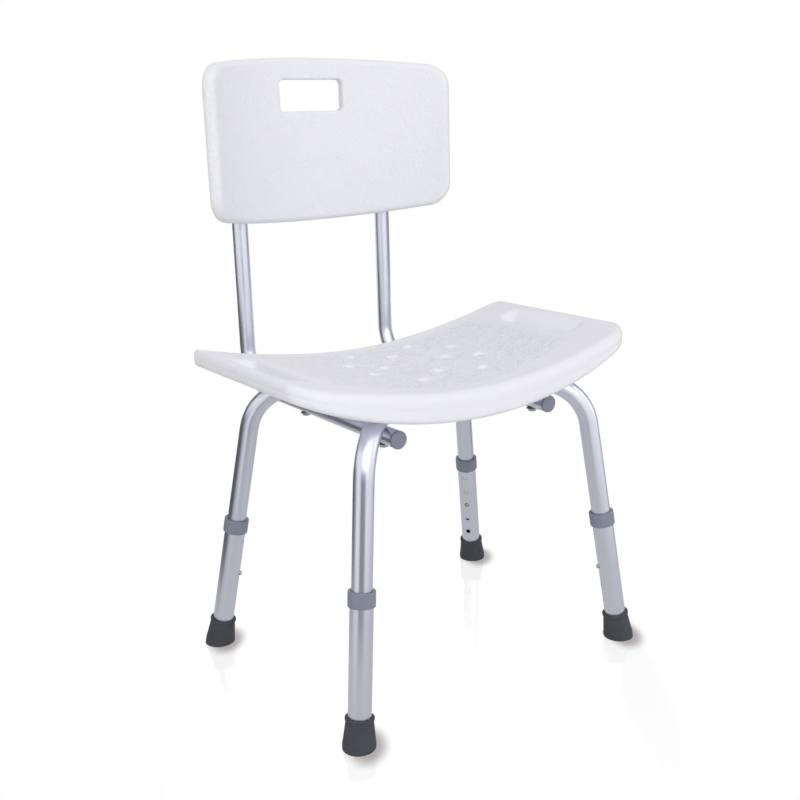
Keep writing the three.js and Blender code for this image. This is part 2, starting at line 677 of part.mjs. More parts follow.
// One grip pocket: a scoop with a steep wall on its inner side and a soft slope on its outer side
function pocketCutter(hand, wall) {
  const levels = [[OVERRUN, -OVERRUN / POCKET_DEPTH, 0], [0, 0, 0], [-POCKET_DEPTH - wall, 1, 1]];
  const rings = levels.map(([height, slopeShare, floorShare]) => {
    const inner = POCKET_INNER_X - wall + POCKET_INNER_SLOPE * slopeShare;
    const outer = POCKET_OUTER_X + wall - POCKET_OUTER_SLOPE * slopeShare;
    const end = POCKET_HALF_LENGTH + wall - POCKET_END_SLOPE * slopeShare;
    const corner = THREE.MathUtils.lerp(POCKET_CORNER, POCKET_FLOOR_CORNER, floorShare);
    const outline = roundedOutline(inner, outer, -end, end, corner, corner, 3, 3);
    return outline.map(([x, y]) => [x * hand, y, seatTop(x) + height]);
  });
  const middle = (POCKET_INNER_X + POCKET_OUTER_X - POCKET_OUTER_SLOPE) / 2;
  const bottom = seatTop(middle) - POCKET_DEPTH - wall;
  return skin(rings, [middle * hand, 0, seatTop(middle) + OVERRUN], [middle * hand, 0, bottom]);
}

function drainSpots() {
  const spots = [];
  for (const hand of [-1, 1]) {
    spots.push([hand * DRAIN_MIDDLE_X, 0], [0, hand * DRAIN_CENTRE_Y]);
    for (const way of [-1, 1]) {
      spots.push([hand * DRAIN_OUTER_X, way * DRAIN_OUTER_Y], [hand * DRAIN_END_X, way * DRAIN_END_Y]);
    }
  }
  return spots;
}

function seat() {
  const high = seatMidHeight + SEAT_RISE;
  let hollow = seatSkin(SEAT_WALL).subtract(seatRecess(SEAT_WALL));
  let body = seatSkin(0).subtract(seatRecess(0));
  for (const hand of [-1, 1]) {
    hollow = hollow.subtract(pocketCutter(hand, SEAT_WALL));
    body = body.subtract(pocketCutter(hand, 0));
  }
  const insertHole = rod(INSERT_OD + GAP * 2, 0, recessTop + INSERT_LENGTH + GAP * 2, PIN_SIDES);
  for (const leg of Object.values(feet)) {
    const spot = tubeCrossing(leg);
    hollow = hollow.subtract(aim(rod(BOSS_DIAMETER, 0, high, PIN_SIDES), spot, up));
    body = body.subtract(aim(insertHole, spot, up));
  }
  for (const [x, y] of drainSpots()) {
    const spot = new THREE.Vector3(x, y, 0);
    hollow = hollow.subtract(aim(rod(DRAIN_DIAMETER + SEAT_WALL * 2, 0, high, HOLE_SIDES), spot, up));
    body = body.subtract(aim(rod(DRAIN_DIAMETER, 0, high, HOLE_SIDES), spot, up));
  }
  body = body.subtract(hollow);
  const ventSpot = new THREE.Vector3((POCKET_INNER_X + RECESS_HALF_LENGTH) / 2, 0, 0);
  const ventTop = seatTop(ventSpot.x) - seatThickness(ventSpot.x) + SEAT_WALL + OVERRUN;
  body = body.subtract(aim(rod(VENT_DIAMETER, 0, ventTop, HOLE_SIDES), ventSpot, up));
  place(group, 'seat', body, whitePlastic);
}

// The back panel: a hollow moulding curved round the sitter, with a hand slot
const panelRearY = BACK_Y - tubeFace - PANEL_BOSS_LENGTH;
const panelCentreY = panelRearY - Math.sqrt((PANEL_RADIUS + PANEL_THICKNESS) ** 2 - BACK_X ** 2);
const panelHalfArc = PANEL_RADIUS * Math.asin(PANEL_HALF_WIDTH / PANEL_RADIUS);
const panelMiddle = (panelBottom + panelTop) / 2;

function panelPoint(along, height, depth) {
  const angle = along / PANEL_RADIUS;
  const radius = PANEL_RADIUS + depth;
  return [radius * Math.sin(angle), panelCentreY + radius * Math.cos(angle), height];
}

function panelRing(inset, depth, scale = 1) {
  const half = PANEL_HEIGHT / 2 - inset;
  const length = panelHalfArc - inset;
  const corner = PANEL_CORNER - inset;
  const outline = roundedOutline(-length, length, -half, half, corner, corner, 14, 3);
  return outline.map(([along, rise]) => {
    const arch = rise > 0 ? PANEL_TOP_ARCH : PANEL_BOTTOM_ARCH;
    const bow = arch * (rise / half) * (1 - (along / length) ** 2);
    return panelPoint(along * scale, panelMiddle + (rise + bow) * scale, depth);
  });
}

function panelSkin(wall) {
  const back = PANEL_THICKNESS - wall;
  const profile = edgeProfile(PANEL_ROUND, PANEL_ROUND, wall);
  const rings = faceShares.map((share) => panelRing(PANEL_ROUND, wall, share));
  rings.push(...profile.map(([inset, offset, side]) => panelRing(inset, offset + side * PANEL_THICKNESS)));
  rings.push(...faceShares.toReversed().map((share) => panelRing(PANEL_ROUND, back, share)));
  return skin(rings, panelPoint(0, panelMiddle, wall), panelPoint(0, panelMiddle, back));
}

// A block that passes through the panel from front to rear, for the hand slot and its walls
function slotBlock(grow) {
  const [width, corner] = [SLOT_HALF_WIDTH + grow, SLOT_CORNER + grow];
  const [low, high] = [slotBottom - grow, slotBottom + SLOT_HEIGHT + grow];
  const reach = PANEL_RADIUS + PANEL_THICKNESS + OVERRUN;
  const front = panelCentreY + PANEL_HALF_WIDTH;
  const bar = block(-width, width, -high, -low, corner, front, panelCentreY + reach);
  const tilt = new THREE.Matrix4().makeRotationX(-Math.PI / 2);
  return bar.transform(tilt.elements);
}

function panelScrewSpots() {
  const spots = [];
  for (const [name, hand] of Object.entries(sides)) {
    for (const [level, height] of Object.entries(screwHeights)) {
      spots.push([`${level}_${name}`, new THREE.Vector3(hand * BACK_X, BACK_Y, height)]);
    }
  }
  return spots;
}

function panel() {
  const forward = rearward.clone().negate();
  let body = panelSkin(0);
  let hollow = panelSkin(PANEL_WALL).subtract(slotBlock(PANEL_WALL));
  for (const [, spot] of panelScrewSpots()) {
    body = body.add(aim(rod(PANEL_BOSS_DIAMETER, tubeFace, tubeFace + PANEL_THICKNESS), spot, forward));
    hollow = hollow.subtract(aim(rod(PANEL_BOSS_DIAMETER, tubeFace, BACK_Y), spot, forward));
  }
  const holeReach = tubeFace + PANEL_INSERT_LENGTH + GAP * 2;
  for (const [, spot] of panelScrewSpots()) {
    body = body.subtract(aim(rod(PANEL_INSERT_OD + GAP * 2, 0, holeReach, PIN_SIDES), spot, forward));
  }
  body = body.subtract(slotBlock(0)).subtract(hollow);
  const ventY = panelCentreY + PANEL_RADIUS + PANEL_THICKNESS / 2;
  const ventLow = panelBottom - PANEL_BOTTOM_ARCH - OVERRUN;
  const vent = rod(VENT_DIAMETER, ventLow, ventLow + OVERRUN * 2 + PANEL_WALL, HOLE_SIDES);
  body = body.subtract(aim(vent, new THREE.Vector3(0, ventY, 0), up));
  place(group, 'back_panel', body, whitePlastic);
}

// The bolts that hold the back tubes, frame tubes and seat together, from below
function frameBolts() {
  const washerTop = backLevel - BACK_OD / 2 - GAP;
  const headTop = washerTop - WASHER_THICKNESS - GAP;
  const acrossCorners = BOLT_HEAD_ACROSS / Math.cos(Math.PI / HEX_SIDES);
  for (const [name, leg] of Object.entries(feet)) {
    const spot = tubeCrossing(leg);
    const head = rod(acrossCorners, headTop - BOLT_HEAD_HEIGHT, headTop, HEX_SIDES);
    const shank = rod(BOLT_DIAMETER, headTop - BOLT_HEAD_HEIGHT / 2, recessTop + INSERT_LENGTH, PIN_SIDES);
    place(group, `frame_bolt_${name}`, aim(head.add(shank), spot, up), steel);
    const washer = sleeve(WASHER_OD, BOLT_DIAMETER + GAP * 2, washerTop - WASHER_THICKNESS, washerTop);
    place(group, `frame_washer_${name}`, aim(washer, spot, up), steel);
    const low = recessTop + GAP;
    const insert = sleeve(INSERT_OD, BOLT_DIAMETER + GAP * 2, low, low + INSERT_LENGTH, PIN_SIDES);
    place(group, `seat_insert_${name}`, aim(insert, spot, up), brass);
  }
}

// The screws that hold the panel's bosses to the back tubes, from behind
function panelScrews() {
  const forward = rearward.clone().negate();
  for (const [name, spot] of panelScrewSpots()) {
    const headFace = -tubeFace - SCREW_HEAD_HEIGHT;
    const edge = SCREW_HEAD_HEIGHT / 3;
    const tip = tubeFace + PANEL_INSERT_LENGTH - GAP;
    const profile = [[0, headFace], [SCREW_HEAD / 2 - edge, headFace], [SCREW_HEAD / 2, headFace + edge]];
    profile.push([SCREW_HEAD / 2, -tubeFace], [SCREW_DIAMETER / 2, -tubeFace]);
    profile.push([SCREW_DIAMETER / 2, tip], [0, tip]);
    place(group, `panel_screw_${name}`, aim(turned(profile, PIN_SIDES), spot, forward), steel);
    const bore = SCREW_DIAMETER + GAP * 2;
    const insert = sleeve(PANEL_INSERT_OD, bore, tubeFace + GAP, tubeFace + PANEL_INSERT_LENGTH, PIN_SIDES);
    place(group, `panel_insert_${name}`, aim(insert, spot, forward), brass);
  }
}

frame();
lowerLegs();
backTubes();
seat();
panel();
frameBolts();
panelScrews();

// The origin is on the floor under the middle of the whole stool
const bounds = new THREE.Box3().setFromObject(group, true);
group.position.y = -(bounds.min.y + bounds.max.y) / 2;

export default group;
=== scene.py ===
"""The looks of a height-adjustable shower stool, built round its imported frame. Metres, +Z up, front at -Y."""
import math

import bmesh
import bpy
from mathutils import Matrix, Vector


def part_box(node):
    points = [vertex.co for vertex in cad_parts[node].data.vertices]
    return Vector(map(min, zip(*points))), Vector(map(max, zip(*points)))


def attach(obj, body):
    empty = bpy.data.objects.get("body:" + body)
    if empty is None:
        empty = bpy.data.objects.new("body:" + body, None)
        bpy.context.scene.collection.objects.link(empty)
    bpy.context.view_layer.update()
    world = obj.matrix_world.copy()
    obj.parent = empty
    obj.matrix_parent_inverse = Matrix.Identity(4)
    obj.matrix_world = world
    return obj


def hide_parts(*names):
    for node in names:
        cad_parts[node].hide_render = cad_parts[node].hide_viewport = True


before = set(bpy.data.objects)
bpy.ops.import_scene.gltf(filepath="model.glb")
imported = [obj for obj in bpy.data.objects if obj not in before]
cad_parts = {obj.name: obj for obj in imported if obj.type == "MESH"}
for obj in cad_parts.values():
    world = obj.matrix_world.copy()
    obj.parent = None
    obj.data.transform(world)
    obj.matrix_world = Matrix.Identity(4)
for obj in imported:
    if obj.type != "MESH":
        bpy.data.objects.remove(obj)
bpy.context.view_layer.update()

UP = Vector((0, 0, 1))
REARWARD = Vector((0, 1, 0))
SIDES = {"left": -1, "right": 1}

# The crossed frame tubes
FRAME_HEIGHT = 0.3753
FRAME_BEND = 0.070
FRAME_OD = 0.0254
FRAME_WALL = 0.0012
FRAME_TAIL = 0.083
CROSSING_FLAT = 0.024
CROSSING_FADE = 0.024
CROSSING_SPREAD = 0.26

# The lower legs, their collars and feet
LEG_OD = 0.0286
LEG_WALL = 0.0012
LEG_FLOOR = 0.0081
LEG_TOP = 0.188
HOLE_PITCH = 0.0254
HOLE_COUNT = 5
HOLE_DIAMETER = 0.0072
BUTTON_HEIGHT = 0.110
COLLAR_OD = 0.0336
COLLAR_TOP = 0.1915
COLLAR_HEIGHT = 0.019
FOOT_BASE_OD = 0.041
FOOT_NECK_OD = 0.034
FOOT_LIP_OD = 0.036
FOOT_HEIGHT = 0.0375
FOOT_LIP_HEIGHT = 0.0036
FOOT_SOLE = 0.006

# The back tubes
BACK_OD = 0.0222
BACK_WALL = 0.0012
BACK_X = 0.1218
BACK_FRONT_END = 0.125
BACK_Y = 0.2466
BACK_BEND = 0.055
BACK_TOP = 0.758

# The seat
SEAT_HALF_LENGTH = 0.262
SEAT_HALF_DEPTH = 0.142
SEAT_FRONT_BOW = 0.020
SEAT_FRONT_CORNER = 0.034
SEAT_REAR_CORNER = 0.024
SEAT_MID_HEIGHT = 0.4025
SEAT_RISE = 0.0385
SEAT_RISE_POWER = 1.83
SEAT_MID_THICKNESS = 0.038
SEAT_END_THICKNESS = 0.0205
SEAT_TOP_ROUND = 0.012
SEAT_UNDER_ROUND = 0.007
SEAT_END_ROUND_SHARE = 0.42
SEAT_END_DROP_SHARE = 0.8
RECESS_TOP = 0.3883
RECESS_HALF_LENGTH = 0.168
RECESS_HALF_DEPTH = 0.123
RECESS_WALL = 0.003

# The groove round the seat's wall, as [share of the way down, depth]
PARTING_GROOVE = ((0.36, 0), (0.42, 0.00012), (0.46, 0.00012), (0.52, 0))

# The seat's twelve drains and two grip pockets
DRAIN_DIAMETER = 0.009
DRAIN_MOUTH_WIDTH = 0.0045
DRAIN_MOUTH_DEPTH = 0.003
POCKET_INNER_X = 0.202
POCKET_OUTER_X = 0.247
POCKET_HALF_LENGTH = 0.082
POCKET_DEPTH = 0.015
POCKET_INNER_WALL = 0.012
POCKET_OUTER_WALL = 0.028
POCKET_END_WALL = 0.024
POCKET_OUTER_EXTRA = 0.001
POCKET_END_EXTRA = 0.002

# The seat's ridged zone: where it fades along X, at the rear and at the bowed front
RIDGES_END = (0.178, 0.198)
RIDGES_REAR = (0.102, 0.120)
RIDGES_FRONT = (-0.142, -0.122)
RIDGES_FRONT_BOW = 1.1

# The seat's grid runs from its rounded edge to its middle in stretches: where each one ends, and its steps
SEAT_STRETCHES_ALONG = ((-0.248, 4), (-0.210, 18), (-0.200, 14), (-0.170, 9), (-0.162, 6), (0, 44))
SEAT_STRETCHES_ACROSS = ((-0.125, 2), (-0.117, 6), (0, 40))

# The back panel
PANEL_RADIUS = 0.268
PANEL_HALF_WIDTH = 0.189
PANEL_BOSS_LENGTH = 0.0045
PANEL_BOTTOM = 0.5947
PANEL_TOP = 0.7908
PANEL_TOP_ARCH = 0.0144
PANEL_BOTTOM_ARCH = 0.0177
PANEL_CORNER = 0.029
PANEL_THICKNESS = 0.018
PANEL_ROUND = 0.008
SLOT_HALF_WIDTH = 0.0512
SLOT_BOTTOM = 0.732
SLOT_HEIGHT = 0.0433
SLOT_CORNER = 0.007
SLOT_ROUND = 0.0035
PANEL_SCREW_HEIGHTS = {"low": 0.640, "high": 0.735}
BOSS_RADIUS = 0.010
BOSS_BASE_RADIUS = 0.0118

# The fasteners
BOLT_ACROSS_FLATS = 0.010
BOLT_HEAD_HEIGHT = 0.003
BOLT_RADIUS = 0.003
BOLT_ABOVE_RECESS = 0.012
WASHER_BORE_RADIUS = 0.0033
WASHER_RADIUS = 0.008
WASHER_HEIGHT = 0.001
SCREW_HEAD_RADIUS = 0.0055
SCREW_HEAD_HEIGHT = 0.0032
SCREW_RADIUS = 0.0025
SCREW_LENGTH = 0.0107
SOCKET_RADIUS = 0.00175
SOCKET_FLOOR = 0.0013
RIVET_RADIUS = 0.003
RIVET_HEAD_RADIUS = 0.006
RIVET_HEAD_HEIGHT = 0.002

GAP = 0.0003
TUBE_SIDES = 40
BEND_STEPS = 12

# The seat's middle and the middle of the four feet are this far along Y from the frame's origin
MIDDLE_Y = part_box("back_tube_left")[1].y - BACK_Y - BACK_OD / 2

FEET = {
    "front_left": (-0.222, -0.171, 0.155, "rear_right"),
    "front_right": (0.222, -0.171, 0.155, "rear_left"),
    "rear_left": (-0.235, 0.171, 0.195, "front_right"),
    "rear_right": (0.235, 0.171, 0.195, "front_left"),
}


# ---- materials ----

def tree_of(name):
    """A new material with its node tree and its surface shader."""
    material = bpy.data.materials.new(name)
    material.use_nodes = True
    tree = material.node_tree
    shader = tree.nodes["Principled BSDF"]
    return material, tree, shader


def node(tree, kind, inputs=None, **settings):
    """A new node with its settings. Its inputs are linked to sockets, or set to plain values."""
    made = tree.nodes.new(kind)
    for name, value in settings.items():
        setattr(made, name, value)
    for name, value in (inputs or {}).items():
        if isinstance(value, bpy.types.NodeSocket):
            tree.links.new(value, made.inputs[name])
        else:
            made.inputs[name].default_value = value
    return made


def place_on_object(tree):
    return tree.nodes.new("ShaderNodeTexCoord").outputs["Object"]


def stretched(tree, vector, scale):
    return node(tree, "ShaderNodeMapping", {"Vector": vector, "Scale": scale}).outputs["Vector"]


def slanted(tree, vector, turn, length):
    """Coordinates in which a pattern's marks lie at a slant and are longer than they are wide."""
    inputs = {"Vector": vector, "Rotation": turn, "Scale": (length, 1.0, 1.0)}
    return node(tree, "ShaderNodeMapping", inputs, vector_type="TEXTURE").outputs["Vector"]


def noise(tree, vector, scale, detail=2.0, distortion=0.0):
    inputs = {"Vector": vector, "Scale": scale, "Detail": detail, "Distortion": distortion}
    return node(tree, "ShaderNodeTexNoise", inputs).outputs["Fac"]


def ranged(tree, value, from_low, from_high, to_low, to_high, kind="LINEAR"):
    inputs = {"Value": value, "From Min": from_low, "From Max": from_high}
    inputs.update({"To Min": to_low, "To Max": to_high})
    return node(tree, "ShaderNodeMapRange", inputs, interpolation_type=kind).outputs["Result"]


def worked_out(tree, kind, first, second):
    """Two sockets or values put through one sum, such as ADD, MULTIPLY or MAXIMUM."""
    made = node(tree, "ShaderNodeMath", operation=kind)
    for socket, value in zip(made.inputs, (first, second)):
        if isinstance(value, bpy.types.NodeSocket):
            tree.links.new(value, socket)
        else:
            socket.default_value = value
    return made.outputs[0]


def two_tone(tree, shader, mask, first, second):
    """Colours a surface from the first colour to the second as the mask rises."""
    made = node(tree, "ShaderNodeMix", data_type="RGBA")
    tree.links.new(mask, made.inputs[0])
    made.inputs[6].default_value = (*first, 1)
    made.inputs[7].default_value = (*second, 1)
    tree.links.new(made.outputs[2], shader.inputs["Base Color"])


def raised(tree, height, depth, under=None):
    """Fine relief of this depth, laid over the relief under it."""
    inputs = {"Height": height, "Distance": depth, "Strength": 1.0}
    if under is not None:
        inputs["Normal"] = under
    return node(tree, "ShaderNodeBump", inputs).outputs["Normal"]


def drain_spots():
    """The drains' places from the seat's middle."""
    spots = [(0.050, 0), (-0.050, 0), (0, 0.053), (0, -0.053)]
    for hand in (-1, 1):
        for way in (-1, 1):
            spots += [(hand * 0.086, way * 0.030), (hand * 0.049, way * 0.083)]
    return spots


def ridged_zone(tree, spot):
    """1 where the seat's top has its ridges, fading to 0 toward its ends, rear and bowed front."""
    axes = node(tree, "ShaderNodeSeparateXYZ", {"Vector": spot})
    wide = worked_out(tree, "ABSOLUTE", axes.outputs["X"], 0.0)
    ends = ranged(tree, wide, *RIDGES_END, 1.0, 0.0, "SMOOTHSTEP")
    rear_lines = [MIDDLE_Y + y for y in RIDGES_REAR]
    rear = ranged(tree, axes.outputs["Y"], *rear_lines, 1.0, 0.0, "SMOOTHSTEP")
    bowed = worked_out(tree, "MULTIPLY", wide, wide)
    bowed = worked_out(tree, "MULTIPLY", bowed, -RIDGES_FRONT_BOW)
    front_line = worked_out(tree, "ADD", axes.outputs["Y"], bowed)
    front_lines = [MIDDLE_Y + y for y in RIDGES_FRONT]
    front = ranged(tree, front_line, *front_lines, 0.0, 1.0, "SMOOTHSTEP")
    return worked_out(tree, "MULTIPLY", worked_out(tree, "MULTIPLY", ends, rear), front)


def wavy_bands(tree, spot):
    """Short wavy ridges at a slant, broken up so that none runs on for long."""
    across = slanted(tree, spot, (0.0, 0.0, 0.52), 1.0)
    sizes = {"Vector": across, "Scale": 70.0, "Distortion": 4.5, "Detail": 2.0, "Detail Scale": 1.8}
    bands = node(tree, "ShaderNodeTexWave", sizes, wave_type="BANDS", bands_direction="Y").outputs["Fac"]
    broken = ranged(tree, noise(tree, spot, 130.0, 1.0), 0.35, 0.6, 0.35, 1.0, "SMOOTHSTEP")
    return worked_out(tree, "MULTIPLY", bands, broken)


def off_the_drains(tree, spot, ridges):
    """Ridges that stop round each drain, where the seat is smooth."""
    flat = node(tree, "ShaderNodeVectorMath", {0: spot, 1: (1, 1, 0)}, operation="MULTIPLY").outputs[0]
    mouth = DRAIN_DIAMETER / 2 + DRAIN_MOUTH_WIDTH
    for x, y in drain_spots():
        drain = (x, y + MIDDLE_Y, 0)
        away = node(tree, "ShaderNodeVectorMath", {0: flat, 1: drain}, operation="DISTANCE").outputs["Value"]
        outside = ranged(tree, away, mouth + 0.001, mouth + 0.004, 0.0, 1.0)
        ridges = worked_out(tree, "MULTIPLY", ridges, outside)
    return ridges


def moulded_white(name, anti_slip):
    """Blow-moulded polyethylene: a leathery grain on the panel, short wavy anti-slip ridges on the seat."""
    material, tree, shader = tree_of(name)
    spot = place_on_object(tree)
    shader.inputs["Specular IOR Level"].default_value = 0.42
    shader.inputs["IOR"].default_value = 1.5
    cloud = noise(tree, spot, 9.0, 3.0)
    two_tone(tree, shader, cloud, (0.785, 0.788, 0.830), (0.815, 0.818, 0.860))
    patch = noise(tree, spot, 40.0, 3.0)
    rough = ranged(tree, patch, 0.3, 0.7, 0.44, 0.52)
    tree.links.new(rough, shader.inputs["Roughness"])
    normal = raised(tree, noise(tree, spot, 620.0, 3.0), 0.00005)
    if anti_slip:
        ridges = worked_out(tree, "MULTIPLY", wavy_bands(tree, spot), ridged_zone(tree, spot))
        normal = raised(tree, off_the_drains(tree, spot, ridges), 0.0008, normal)
    else:
        wrinkle = noise(tree, slanted(tree, spot, (0.0, 0.75, 0.0), 1.7), 290.0, 1.5, 0.7)
        normal = raised(tree, ranged(tree, wrinkle, 0.36, 0.64, 0.0, 1.0, "SMOOTHSTEP"), 0.00029, normal)
    tree.links.new(normal, shader.inputs["Normal"])
    return material


def drawn_aluminium(name):
    """Satin anodised tube: fine lines drawn along its length and slight clouding."""
    material, tree, shader = tree_of(name)
    drawn = node(tree, "ShaderNodeAttribute", attribute_name="drawn").outputs["Vector"]
    shader.inputs["Metallic"].default_value = 1.0
    spot = place_on_object(tree)
    cloud = noise(tree, spot, 14.0, 2.0)
    two_tone(tree, shader, cloud, (0.715, 0.73, 0.83), (0.765, 0.78, 0.88))
    lines = noise(tree, stretched(tree, drawn, (900.0, 900.0, 9.0)), 1.0, 3.0)
    rough = ranged(tree, lines, 0.3, 0.7, 0.30, 0.34)
    tree.links.new(rough, shader.inputs["Roughness"])
    blast = noise(tree, spot, 1500.0, 1.0)
    normal = raised(tree, lines, 0.000007)
    normal = raised(tree, blast, 0.000016, normal)
    tree.links.new(normal, shader.inputs["Normal"])
    return material


def moulded_grey(name, dark, light, rough_low, rough_high, depth, scale):
    """Grey plastic or rubber with a fine moulded grain and slightly uneven colour."""
    material, tree, shader = tree_of(name)
    spot = place_on_object(tree)
    cloud = noise(tree, spot, 60.0, 4.0)
    two_tone(tree, shader, cloud, dark, light)
    patch = noise(tree, spot, 180.0, 3.0)
    rough = ranged(tree, patch, 0.3, 0.7, rough_low, rough_high)
    tree.links.new(rough, shader.inputs["Roughness"])
    normal = raised(tree, noise(tree, spot, scale, 2.0), depth)
    tree.links.new(normal, shader.inputs["Normal"])
    return material


def turned_metal(name, dark, light, rough_low, rough_high):
    """Plain metal with the faint rings of turning, brighter and duller in turn."""
    material, tree, shader = tree_of(name)
    spot = place_on_object(tree)
    shader.inputs["Metallic"].default_value = 1.0
    two_tone(tree, shader, noise(tree, spot, 120.0, 3.0), dark, light)
    marks = noise(tree, stretched(tree, spot, (1.0, 1.0, 6.0)), 900.0, 3.0)
    tree.links.new(ranged(tree, marks, 0.3, 0.7, rough_low, rough_high), shader.inputs["Roughness"])
    tree.links.new(raised(tree, marks, 0.00002), shader.inputs["Normal"])
    return material


SEAT_WHITE = moulded_white("seat_white", True)
PANEL_WHITE = moulded_white("panel_white", False)
ALUMINIUM = drawn_aluminium("anodised_tube")
GREY_PLASTIC = moulded_grey(
    "grey_plastic", (0.195, 0.215, 0.275), (0.225, 0.245, 0.31), 0.42, 0.52, 0.00003, 1100.0,
)
RUBBER = moulded_grey(
    "slate_rubber", (0.038, 0.041, 0.052), (0.055, 0.058, 0.072), 0.62, 0.78, 0.00006, 800.0,
)
STEEL = turned_metal("fastener_steel", (0.40, 0.385, 0.39), (0.48, 0.465, 0.47), 0.26, 0.36)
BRASS = turned_metal("insert_brass", (0.58, 0.42, 0.20), (0.66, 0.49, 0.25), 0.3, 0.45)


# ---- making pieces ----

def shown(name, shape, material, body, nodes, crease=38):
    """Turns a finished shape into a piece that rides on a body and stands for its CAD nodes."""
    mesh = bpy.data.meshes.new(name)
    shape.to_mesh(mesh)
    shape.free()
    mesh.materials.append(material)
    mesh.shade_smooth()
    mesh.set_sharp_from_angle(angle=math.radians(crease))
    piece = bpy.data.objects.new(name, mesh)
    bpy.context.scene.collection.objects.link(piece)
    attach(piece, body)
    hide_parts(*nodes)
    return piece


def cut_away(piece, cutter, crease=38):
    """Cuts a shape out of a piece for good."""
    mesh = bpy.data.meshes.new("cutter")
    cutter.to_mesh(mesh)
    cutter.free()
    tool = bpy.data.objects.new("cutter", mesh)
    bpy.context.scene.collection.objects.link(tool)
    cutting = piece.modifiers.new("cutting", "BOOLEAN")
    cutting.operation = "DIFFERENCE"
    cutting.solver = "EXACT"
    cutting.object = tool
    graph = bpy.context.evaluated_depsgraph_get()
    result = bpy.data.meshes.new_from_object(piece.evaluated_get(graph), depsgraph=graph)
    piece.modifiers.clear()
    piece.data = result
    result.shade_smooth()
    result.set_sharp_from_angle(angle=math.radians(crease))
    bpy.data.objects.remove(tool)


def standing(origin, direction):
    """Stands a shape that was made about Z at origin, pointing along direction."""
    return Matrix.LocRotScale(origin, direction.to_track_quat("Z", "Y"), None)


def soften(shape, width, steps=2, angle=30):
    """Rounds every edge that is sharper than an angle."""
    sharp = [e for e in shape.edges if e.is_manifold and e.calc_face_angle() > math.radians(angle)]
    bmesh.ops.bevel(
        shape, geom=sharp, offset=width, offset_type="OFFSET", segments=steps, profile=0.5,
        affect="EDGES", clamp_overlap=True, material=-1,
    )


def turned(profile, sides=48, place=Matrix(), ease=0.0, steps=2):
    """Spins [radius, height] points about Z. An outline that keeps off the axis is closed on itself."""
    shape = bmesh.new()
    points = [shape.verts.new((radius, 0, height)) for radius, height in profile]
    following = points[1:] + (points[:1] if profile[0][0] > 0 else [])
    lines = [shape.edges.new(pair) for pair in zip(points, following)]
    bmesh.ops.spin(
        shape, geom=points + lines, cent=(0, 0, 0), axis=(0, 0, 1), angle=math.tau, steps=sides,
        use_merge=True,
    )
    bmesh.ops.remove_doubles(shape, verts=shape.verts, dist=1e-5)
    bmesh.ops.recalc_face_normals(shape, faces=shape.faces)
    if ease:
        soften(shape, ease, steps)
    bmesh.ops.transform(shape, matrix=place, verts=shape.verts)
    return shape


def joined(*shapes):
    """Gathers several shapes into the first one."""
    first = shapes[0]
    for other in shapes[1:]:
        mesh = bpy.data.meshes.new("gathered")
        other.to_mesh(mesh)
        other.free()
        first.from_mesh(mesh)
        bpy.data.meshes.remove(mesh)
    return first


def next_loop(shape, edges):
    """Draws a loop of edges on by one step and returns the new edges and corners."""
    made = bmesh.ops.extrude_edge_only(shape, edges=edges)["geom"]
    corners = [g for g in made if isinstance(g, bmesh.types.BMVert)]
    fresh = set(corners)
    return [g for g in made if isinstance(g, bmesh.types.BMEdge) and fresh.issuperset(g.verts)], corners


def drawn_from(corner, known):
    """The corner of the loop before that a corner of the new loop was drawn from."""
    return next(e.other_vert(corner) for e in corner.link_edges if e.other_vert(corner) in known)


def hollow_sweep(places, outer, wall):
    """Sweeps a circle along places on the outside, back again on the inside, and onto its start."""
    shape = bmesh.new()
    mark = shape.verts.layers.float_vector.new("drawn")
    lengths = [0]
    for before, place in zip(places, places[1:]):
        lengths.append(lengths[-1] + (place.translation - before.translation).length)
    stops = [(place, outer / 2, along) for place, along in zip(places, lengths)]
    stops += [(place, outer / 2 - wall, along) for place, _, along in reversed(stops)]
    corners = bmesh.ops.create_circle(shape, cap_ends=False, radius=1, segments=TUBE_SIDES)["verts"]
    edges = list({e for v in corners for e in v.link_edges})
    before = None
    for place, radius, along in stops + stops[:1]:
        now = place @ Matrix.Diagonal((radius, radius, 1, 1))
        if before is not None:
            edges, corners = next_loop(shape, edges)
            now_from_before = now @ before.inverted()
        else:
            now_from_before = now
        bmesh.ops.transform(shape, matrix=now_from_before, verts=corners)
        home = place.inverted()
        for corner in corners:
            spot = home @ corner.co
            corner[mark] = (spot.x, spot.y, along)
        before = now
    bmesh.ops.remove_doubles(shape, verts=shape.verts, dist=1e-5)
    bmesh.ops.recalc_face_normals(shape, faces=shape.faces)
    return shape


def bent_tube(stations, across, outer, wall, press=None):
    """A hollow round tube through [point, direction] stations in one plane, whose normal is across."""
    places = []
    for point, direction in stations:
        turn = Matrix((across, direction.cross(across), direction)).transposed()
        places.append(Matrix.LocRotScale(point, turn, None))
    shape = hollow_sweep(places, outer, wall)
    if press:
        for corner in shape.verts:
            corner.co = press(corner.co)
    return shape


# ---- the legs ----

def leg_lines(name):
    """A leg's spot on the floor, its level direction inwards, its axis, and the way square to that axis."""
    x, y, splay, across = FEET[name]
    floor = Vector((x, y + MIDDLE_Y, 0))
    other = Vector((FEET[across][0], FEET[across][1] + MIDDLE_Y, 0))
    inward = (other - floor).normalized()
    axis = (inward * splay + UP).normalized()
    side = (inward - UP * splay).normalized()
    return floor, inward, axis, side


def leg_place(name):
    floor, _, axis, side = leg_lines(name)
    turn = Matrix((side, axis.cross(side), axis)).transposed()
    return Matrix.LocRotScale(floor, turn, None)


def crossing_point():
    floor, inward, _, _ = leg_lines("front_right")
    return Vector((0, floor.y - floor.x * inward.y / inward.x, FRAME_HEIGHT))


